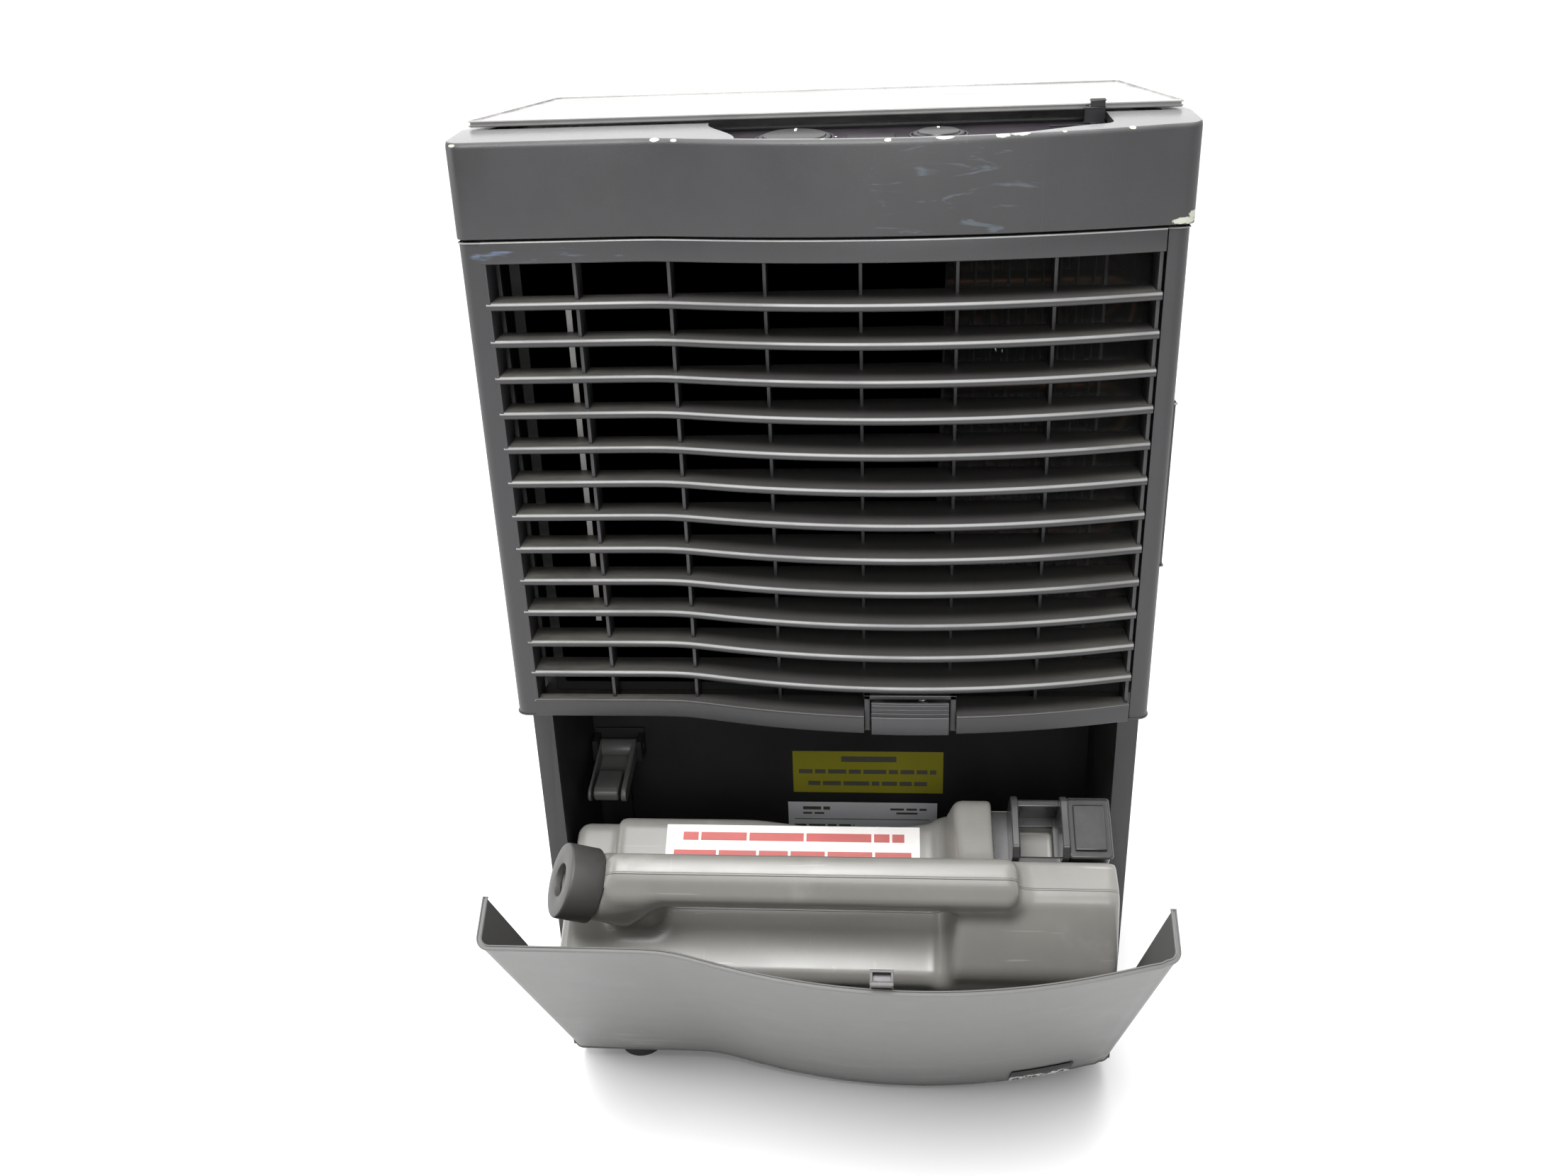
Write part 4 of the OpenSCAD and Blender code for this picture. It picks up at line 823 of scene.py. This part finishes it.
def nets(field, low, high, step):
    """A smooth mesh over the zero level of a field, one vertex in each cell that it crosses."""
    axes = [np.arange(a, b + step, step) for a, b in zip(low, high)]
    gx, gy, gz = np.meshgrid(*axes, indexing="ij")
    f = field(gx, gy, gz).astype(np.float64)
    inside = f < 0
    shape = np.array(f.shape) - 1
    total = np.zeros((*shape, 3))
    count = np.zeros(shape)
    corners = [(i, j, k) for i in (0, 1) for j in (0, 1) for k in (0, 1)]
    for a in corners:
        for d in range(3):
            if a[d]:
                continue
            b = list(a)
            b[d] = 1
            sa = tuple(slice(a[m], a[m] + shape[m]) for m in range(3))
            sb = tuple(slice(b[m], b[m] + shape[m]) for m in range(3))
            fa, fb = f[sa], f[sb]
            cross = (fa < 0) != (fb < 0)
            t = np.where(cross, fa / np.where(cross, fa - fb, 1), 0)
            p = np.stack([np.full(shape, float(a[m])) for m in range(3)], -1)
            p[..., d] += t
            total += np.where(cross[..., None], p, 0)
            count += cross
    used = count > 0
    index = np.full(shape, -1, np.int64)
    index[used] = np.arange(used.sum())
    cell = np.argwhere(used)
    verts = (cell + total[used] / count[used][:, None]) * step + np.array(low)
    faces = []
    for d in range(3):
        e1, e2 = (d + 1) % 3, (d + 2) % 3
        sa = [slice(None)] * 3
        sb = [slice(None)] * 3
        sa[d], sb[d] = slice(0, -1), slice(1, None)
        a, b = inside[tuple(sa)], inside[tuple(sb)]
        at = np.argwhere(a != b)
        at = at[(at[:, e1] > 0) & (at[:, e2] > 0) & (at[:, e1] < shape[e1]) & (at[:, e2] < shape[e2])]
        flip = a[tuple(at.T)]
        q = []
        for o1, o2 in ((-1, -1), (0, -1), (0, 0), (-1, 0)):
            c = at.copy()
            c[:, e1] += o1
            c[:, e2] += o2
            q.append(index[tuple(c.T)])
        q = np.stack(q, 1)
        q[~flip] = q[~flip][:, ::-1]
        faces.append(q)
    return verts, np.concatenate(faces)


STEP = 1.25
tank_verts, tank_faces = nets(tank_field, (-158, 9, 38), (159, 112, 246), STEP)
tank = make("water_container_look", tank_verts.tolist(), tank_faces.tolist(), "tank_grey", "container", DOOR,
            ["water_container"], smooth=60)

cap_profile = [(9.0, -3.6), (9.0, -0.7), (9.25, -0.2), (9.8, 0), (19.2, 0), (19.9, -0.25), (20.35, -0.8), (20.5, -1.6),
               (20.5, -18.2), (20.2, -18.8), (19.7, -19), (14.0, -19), (13.6, -18.6), (13.6, -3.9), (13.3, -3.6)]
make("spout_cap_look", *turned(cap_profile, 96, SPOUT), "cap_plastic", "cap", DOOR, ["spout_cap"], smooth=40)

# ---------------------------------------------------------------- float housing

HL, HH = (93, 69.5, 196.0), (154.8, 105.5, 226.5)


def ear_plate(x0, x1, top):
    out = fillet([(HL[1] + 1, HL[2]), (HL[1] + 1, top - 5), (HL[1] + 6, top), (HH[1] - 3, top), (HH[1], top - 3), (HH[1], HL[2])],
                 [0, 3, 3, 3, 3, 0], 4)
    e = 0.5
    shrink = lambda k: [(y + (88 - y) * k, z + (208 - z) * k) for y, z in out]
    loops = [[(x, p[0], p[1]) for p in shrink(k)] for x, k in ((x0, 0.03), (x0 + e, 0.0), (x1 - e, 0.0), (x1, 0.03))]
    return loft(loops)


housing_parts = [
    block((91, 69.5, 195), (104, 105.5, 198), 0.5), block((104, 69.5, 195), (107, 105.5, 198), 0.3),
    block((125, 69.5, 195), (154.8, 105.5, 198), 0.5),
    block((106, 69.5, 195), (126, 77, 198), 0.3), block((106, 97, 195), (126, 105.5, 198), 0.3),
    ear_plate(100, 104, 226.5), ear_plate(127, 131, 226.5),
    block((103.5, 70.5, 196), (127.5, 74.5, 213), 0.7), block((103.5, 101.5, 196), (127.5, 105.5, 218), 0.7),
    prism(fillet([(130.5, 70.5), (154.3, 70.5), (154.3, 105.5), (130.5, 105.5)], 2.0, 4), 197.5, 222.5, 1.2, 3),
    block((134, 75, 222), (151, 101, 223.4), 0.6),
]
make("float_housing_look", *join_parts(housing_parts), "housing_smoke", "container", DOOR, ["float_housing"], smooth=35)

# ---------------------------------------------------------------- labels


def strips(rows, y, slot, name, body, place, flat=False):
    """Small printed strips, grouped like words, on an upright or a lying label."""
    parts = []
    for x0, x1, z, h, gaps in rows:
        x = x0
        k = 0
        while x < x1:
            w = gaps[k % len(gaps)]
            end = min(x + w, x1)
            low, high = ((x, y - 0.05, z), (end, y, z + h)) if not flat else ((x, z, y), (end, z + h, y + 0.06))
            parts.append(prism([(low[0], low[1]), (high[0], low[1]), (high[0], high[1]), (low[0], high[1])], low[2], high[2]))
            x = end + 1.6
            k += 1
    return make(name, *join_parts(parts), slot, body, place)


BACK = 118.0
make("notice_label_look", *block((-30, BACK - 0.3, 157.5), (68.5, BACK, 188.8), 0.12), "yellow_label", "root", stands_for=["notice_label"])
strips([(2, 38, 181, 4.2, (36,)), (-26, 64, 172, 3.2, (9, 7, 12, 8, 15, 6)), (-20, 58, 163, 3.2, (8, 12, 17, 5, 10))],
       BACK - 0.3, "label_dark", "notice_strips", "root", CASE)
make("rating_label_look", *block((-34, BACK - 0.3, 118), (65, BACK, 149.8), 0.12), "rating_label", "root", stands_for=["rating_label"])
strips([(-24, -6, 144, 2.4, (12, 5)), (-24, -10, 140.6, 1.4, (6, 7)), (34, 58, 144, 1.5, (9, 7, 6)), (38, 52, 141, 1.4, (14,)), (-30, 60, 136.5, 0.5, (90,)),
        (-30, 10, 131, 1.6, (8, 11, 6)), (-30, 4, 127, 1.6, (12, 6, 9))],
       BACK - 0.3, "label_dark", "rating_strips", "root", CASE)
LABEL_Z = 180.0
make("container_label_look", *block((-98, 75, LABEL_Z + 0.02), (51, 102, LABEL_Z + 0.3), 0.1), "white_label", "container", DOOR, ["container_label"])
strips([(-88, 42, 92.5, 5.0, (9, 27, 32, 38)), (-93, 46, 81.5, 5.0, (25, 22, 17, 20, 26))],
       LABEL_Z + 0.29, "label_red", "container_strips", "container", DOOR, flat=True)

# ---------------------------------------------------------------- lever

LEVER = CASE @ Matrix.Translation((0, 110 * MM, 196 * MM)) @ Matrix.Rotation(math.radians(14), 4, "X")


def stadium(y0, y1, r, seg=10):
    pts = [(y0 + r * math.cos(math.pi / 2 + math.pi * k / seg), r * math.sin(math.pi / 2 + math.pi * k / seg)) for k in range(seg + 1)]
    return pts + [(y1 + r * math.cos(-math.pi / 2 + math.pi * k / seg), r * math.sin(-math.pi / 2 + math.pi * k / seg)) for k in range(seg + 1)]


def plate(x0, x1, outline, e=0.5):
    scale = lambda k: [(y + (-21 - y) * 0.0, z * k) for y, z in outline]
    return loft([[(x, y, z) for y, z in scale(k)] for x, k in ((x0, 0.88), (x0 + e, 1), (x1 - e, 1), (x1, 0.88))])


lever_parts = [plate(-154.4, -152.7, stadium(-42, 0, 5)), plate(-133.6, -130.6, stadium(-42, 0, 5)),
               plate(-153.5, -131.5, stadium(-2, 0, 4.9)),
               block((-153, -36, -5.0), (-132, -4, -3.6), 0.4),
               sweep([-151.2, -150.4, -136.6, -135.8], lambda x: fillet(
                   [(-45.6, -3.4), (-45.6, 3.4), (-41, 4.4), (-24, 2.4), (-24, -3.8), (-42, -4.2)] if -150.5 < x < -136 else
                   [(-44.9, -2.8), (-44.9, 2.8), (-41, 3.7), (-25, 1.8), (-25, -3.2), (-42, -3.5)], [2.6, 2.6, 2, 1, 1, 2], 5))]
lever = make("interlock_lever_look", *join_parts(lever_parts), "lever_grey", "lever", LEVER, ["interlock_lever"], smooth=35)

# ---------------------------------------------------------------- controls

PANEL = CASE @ Matrix.Translation((0, 0, (COWL_TOP - 10.5) * MM)) @ Matrix.Rotation(SLOPE, 4, "X")


def knob(x, r, teeth=36):
    """A dial with a finely ribbed rim and a raised face."""
    rings = [(r - 0.5, 2.3), (r, 2.7), (r, 3.7), (r - 0.5, 4.2), (r - 2.2, 4.2), (r - 2.6, 4.9), (r - 3.2, 5.1)]
    verts, faces = [], []
    seg = teeth * 4
    for rr, z in rings:
        for k in range(seg):
            a = 2 * math.pi * k / seg
            q = rr - (0.35 if k % 4 in (0, 1) and rr > r - 1 else 0)
            verts.append((x + q * math.cos(a), 12 + q * math.sin(a), z))
    for i in range(len(rings) - 1):
        for k in range(seg):
            k2 = (k + 1) % seg
            faces.append([i * seg + k, i * seg + k2, (i + 1) * seg + k2, (i + 1) * seg + k])
    faces.append([k for k in range(seg)][::-1])
    faces.append([(len(rings) - 1) * seg + k for k in range(seg)])
    return verts, faces


shaft = lambda x: turned([(0.01, -8.7), (2.6, -8.7), (3.0, -8.3), (3.0, 3.3), (0.01, 3.3)], 40, Matrix.Translation((x, 12, 0)))
for name, x, r, body in (("humidity_dial", -10, 17, "humidity_dial"), ("fan_dial", 56, 12, "fan_dial")):
    make(name + "_look", *join_parts([knob(x, r), shaft(x)]), "dial_black", body, PANEL, [name], smooth=40)
    make(name + "_mark", *block((x - 0.6, 12 + r * 0.45, 4.9), (x + 0.6, 12 + r - 3.6, 5.25), 0.1), "mark_white", body, PANEL)
dots = []
for x, r, steps in ((-10, 20.2, 13), (56, 15.2, 5)):
    for k in range(steps):
        a = math.radians(90 - 135 + 270 * k / (steps - 1)) if steps > 6 else math.radians(40 + 100 * k / (steps - 1))
        px, py = x + r * math.cos(a), 12 + r * math.sin(a)
        if py > 1:
            dots.append(turned([(0.01, 1.95), (0.75, 1.95), (0.75, 2.1), (0.01, 2.1)], 16, Matrix.Translation((px, py, 0))))
make("panel_dots", *join_parts(dots), "mark_white", "root", PANEL)

select = [block((-2.2, -2, -7), (2.2, 2, 3.4), 0.2), block((-5, -2, 3), (5, 2, 10.5), 0.5),
          block((-2.5, -2, 10), (5, 2, 13.5), 0.5), block((-6, -4.5, -7), (5, 4.5, -4), 0.4)]
make("selector_lever_look", *join_parts([moved(p, Matrix.Translation((128, 30, 0))) for p in select]), "dial_black", "selector",
     PANEL, ["selector_lever"], smooth=35)

# ---------------------------------------------------------------- the rest of the machine



def coil(x, y, low, high, radius, wire, turns):
    """A compression spring about Z whose end coils lie flat."""
    loops = []
    for k in range(int(turns * 24) + 1):
        turn = k / 24
        rise = min(max((turn - 0.75) / (turns - 1.5), 0), 1)
        z = low + wire + (high - low - 2 * wire) * rise
        c, s = math.cos(math.tau * turn), math.sin(math.tau * turn)
        loops.append([(x + (radius + wire * math.cos(math.tau * i / 10)) * c, y + (radius + wire * math.cos(math.tau * i / 10)) * s,
                       z + wire * math.sin(math.tau * i / 10)) for i in range(10)])
    return loft(loops)


spring_low, spring_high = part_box("catch_spring")
spring_x = (spring_low[0] + spring_high[0]) / 2 / MM
spring_y = (spring_low[1] + spring_high[1]) / 2 / MM - CASE.translation[1] / MM
spring_z = (spring_low[2] / MM + 0.15, spring_high[2] / MM - 0.1)
spring = make("catch_spring_look", *coil(spring_x, spring_y, *spring_z, 2.2, 0.45, 6), "steel", "root",
              stands_for=["catch_spring"])
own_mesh(spring)

make("coil_flange_look", *block((-126.5, 17.0, 330), (-123.0, 18.2, 506), 0.3),
     "flange", "root")

slots = {s["node"]: s["material_slot"] for s in frame["record"]["subparts"]}
SOFT_EDGES = {"chassis": 0.6, "rear_cover": 0.4, "feet": 0.9, "base_pan": 0.5, "container_bay_liner": 0.5, "lever_bracket": 0.5,
              "control_panel": 0.2, "humidistat": 0.5, "fan_switch": 0.5, "circuit_board": 0.2, "microswitch": 0.4,
              "drip_tray": 0.5, "fan_shroud": 0.5, "fan_blade": 0.5, "fan_motor": 1.2, "motor_bracket": 0.3, "motor_screws": 0.3,
              "compressor": 0.9, "compressor_grommets": 0.5, "compressor_studs": 0.3, "terminal_cover": 1.5, "start_capacitor": 1.2,
              "filter_drier": 1.5, "cable_gland": 0.8, "rear_screws": 0.4, "filter_frame": 0.5, "hinge_pins": 0.4}
bodies = {n: b for b, members in frame["record"]["behaviour"]["bodies"].items() for n in members}
for node, obj in nodes.items():
    if obj.hide_render:
        continue
    slot = slots[node]
    mat = MATS[{"chassis": "chassis_charcoal", "rear_cover": "chassis_charcoal", "filter_frame": "filter_black"}.get(node, slot)]
    if node in SOFT_EDGES:
        look = edged(node, slot, bodies[node], SOFT_EDGES[node])
        look.data.materials.clear()
        look.data.materials.append(mat)
    else:
        obj.data.materials.clear()
        obj.data.materials.append(mat)
        shade(obj, 30)

# ---------------------------------------------------------------- floor, light and camera

stage_mat = Tree("floor")
n1 = stage_mat.noise(3, 3, 0.5)
stage_mat.bsdf.inputs["Specular IOR Level"].default_value = 0.0
far = stage_mat.ramp(stage_mat.vec("LENGTH", stage_mat.geo.outputs["Position"], out=1), 0.8, 2.6, 0.0, 0.42)
stage_mat.put(stage_mat.bsdf.inputs["Emission Strength"], far)
stage_mat.bsdf.inputs["Emission Color"].default_value = (1, 1, 1, 1)
floor_mat = stage_mat.done(stage_mat.mix(n1, (0.86, 0.86, 0.86), (0.89, 0.89, 0.89)), 0.75)
bpy.ops.mesh.primitive_plane_add(size=14, location=(0, 0, 0))
floor = bpy.context.object
floor.name = "floor"
floor.data.materials.append(floor_mat)

world = bpy.data.worlds.new("studio")
scene.world = world
world.use_nodes = True
sky = world.node_tree
split = sky.nodes.new("ShaderNodeSeparateXYZ")
sky.links.new(sky.nodes.new("ShaderNodeTexCoord").outputs["Generated"], split.inputs[0])
fade = sky.nodes.new("ShaderNodeMapRange")
fade.interpolation_type = "SMOOTHSTEP"
for k, v in enumerate((-0.75, 0.2, 0.2, 1.25)):
    fade.inputs[k + 1].default_value = v
sky.links.new(split.outputs[1], fade.inputs[0])
sky.nodes["Background"].inputs[0].default_value = (1, 1, 1, 1)
sky.links.new(fade.outputs[0], sky.nodes["Background"].inputs[1])


def softbox(name, at, towards, size, power, size_y=None):
    data = bpy.data.lights.new(name, "AREA")
    data.shape, data.size, data.size_y, data.energy = "RECTANGLE", size, size_y or size, power
    lamp = bpy.data.objects.new(name, data)
    lamp.location = at
    lamp.rotation_euler = (Vector(towards) - Vector(at)).to_track_quat("-Z", "Y").to_euler()
    scene.collection.objects.link(lamp)
    return lamp


softbox("key", (-0.3, -1.15, 2.2), (0, -0.1, 0.25), 0.9, 56)
softbox("top", (0, 0.3, 2.2), (0, 0.05, 0.3), 1.6, 30)
softbox("left", (-1.8, -0.3, 0.9), (0, 0, 0.3), 0.8, 9)
softbox("front", (0.1, -1.5, 0.95), (0, 0, 0.22), 0.7, 9)

CAM = Vector((33.05, -621.26 - Y_MID, 629.63)) * MM
yaw, pitch, roll = math.radians(-4.99), math.radians(23.62), math.radians(-2.06)
forward = Vector((math.sin(yaw) * math.cos(pitch), math.cos(yaw) * math.cos(pitch), -math.sin(pitch)))
r0 = Vector((math.cos(yaw), -math.sin(yaw), 0))
u0 = r0.cross(forward)
right = r0 * math.cos(roll) + u0 * math.sin(roll)
upward = u0 * math.cos(roll) - r0 * math.sin(roll)
cam_data = bpy.data.cameras.new("camera")
cam_data.lens, cam_data.sensor_width, cam_data.sensor_fit = 30.06, 36, "HORIZONTAL"
cam_data.clip_start, cam_data.clip_end = 0.02, 50
camera = bpy.data.objects.new("camera", cam_data)
scene.collection.objects.link(camera)
camera.matrix_world = Matrix.Translation(CAM) @ Matrix((right, upward, -forward)).transposed().to_4x4()
scene.camera = camera
scene.view_settings.view_transform = "Standard"
scene.view_settings.look = "None"
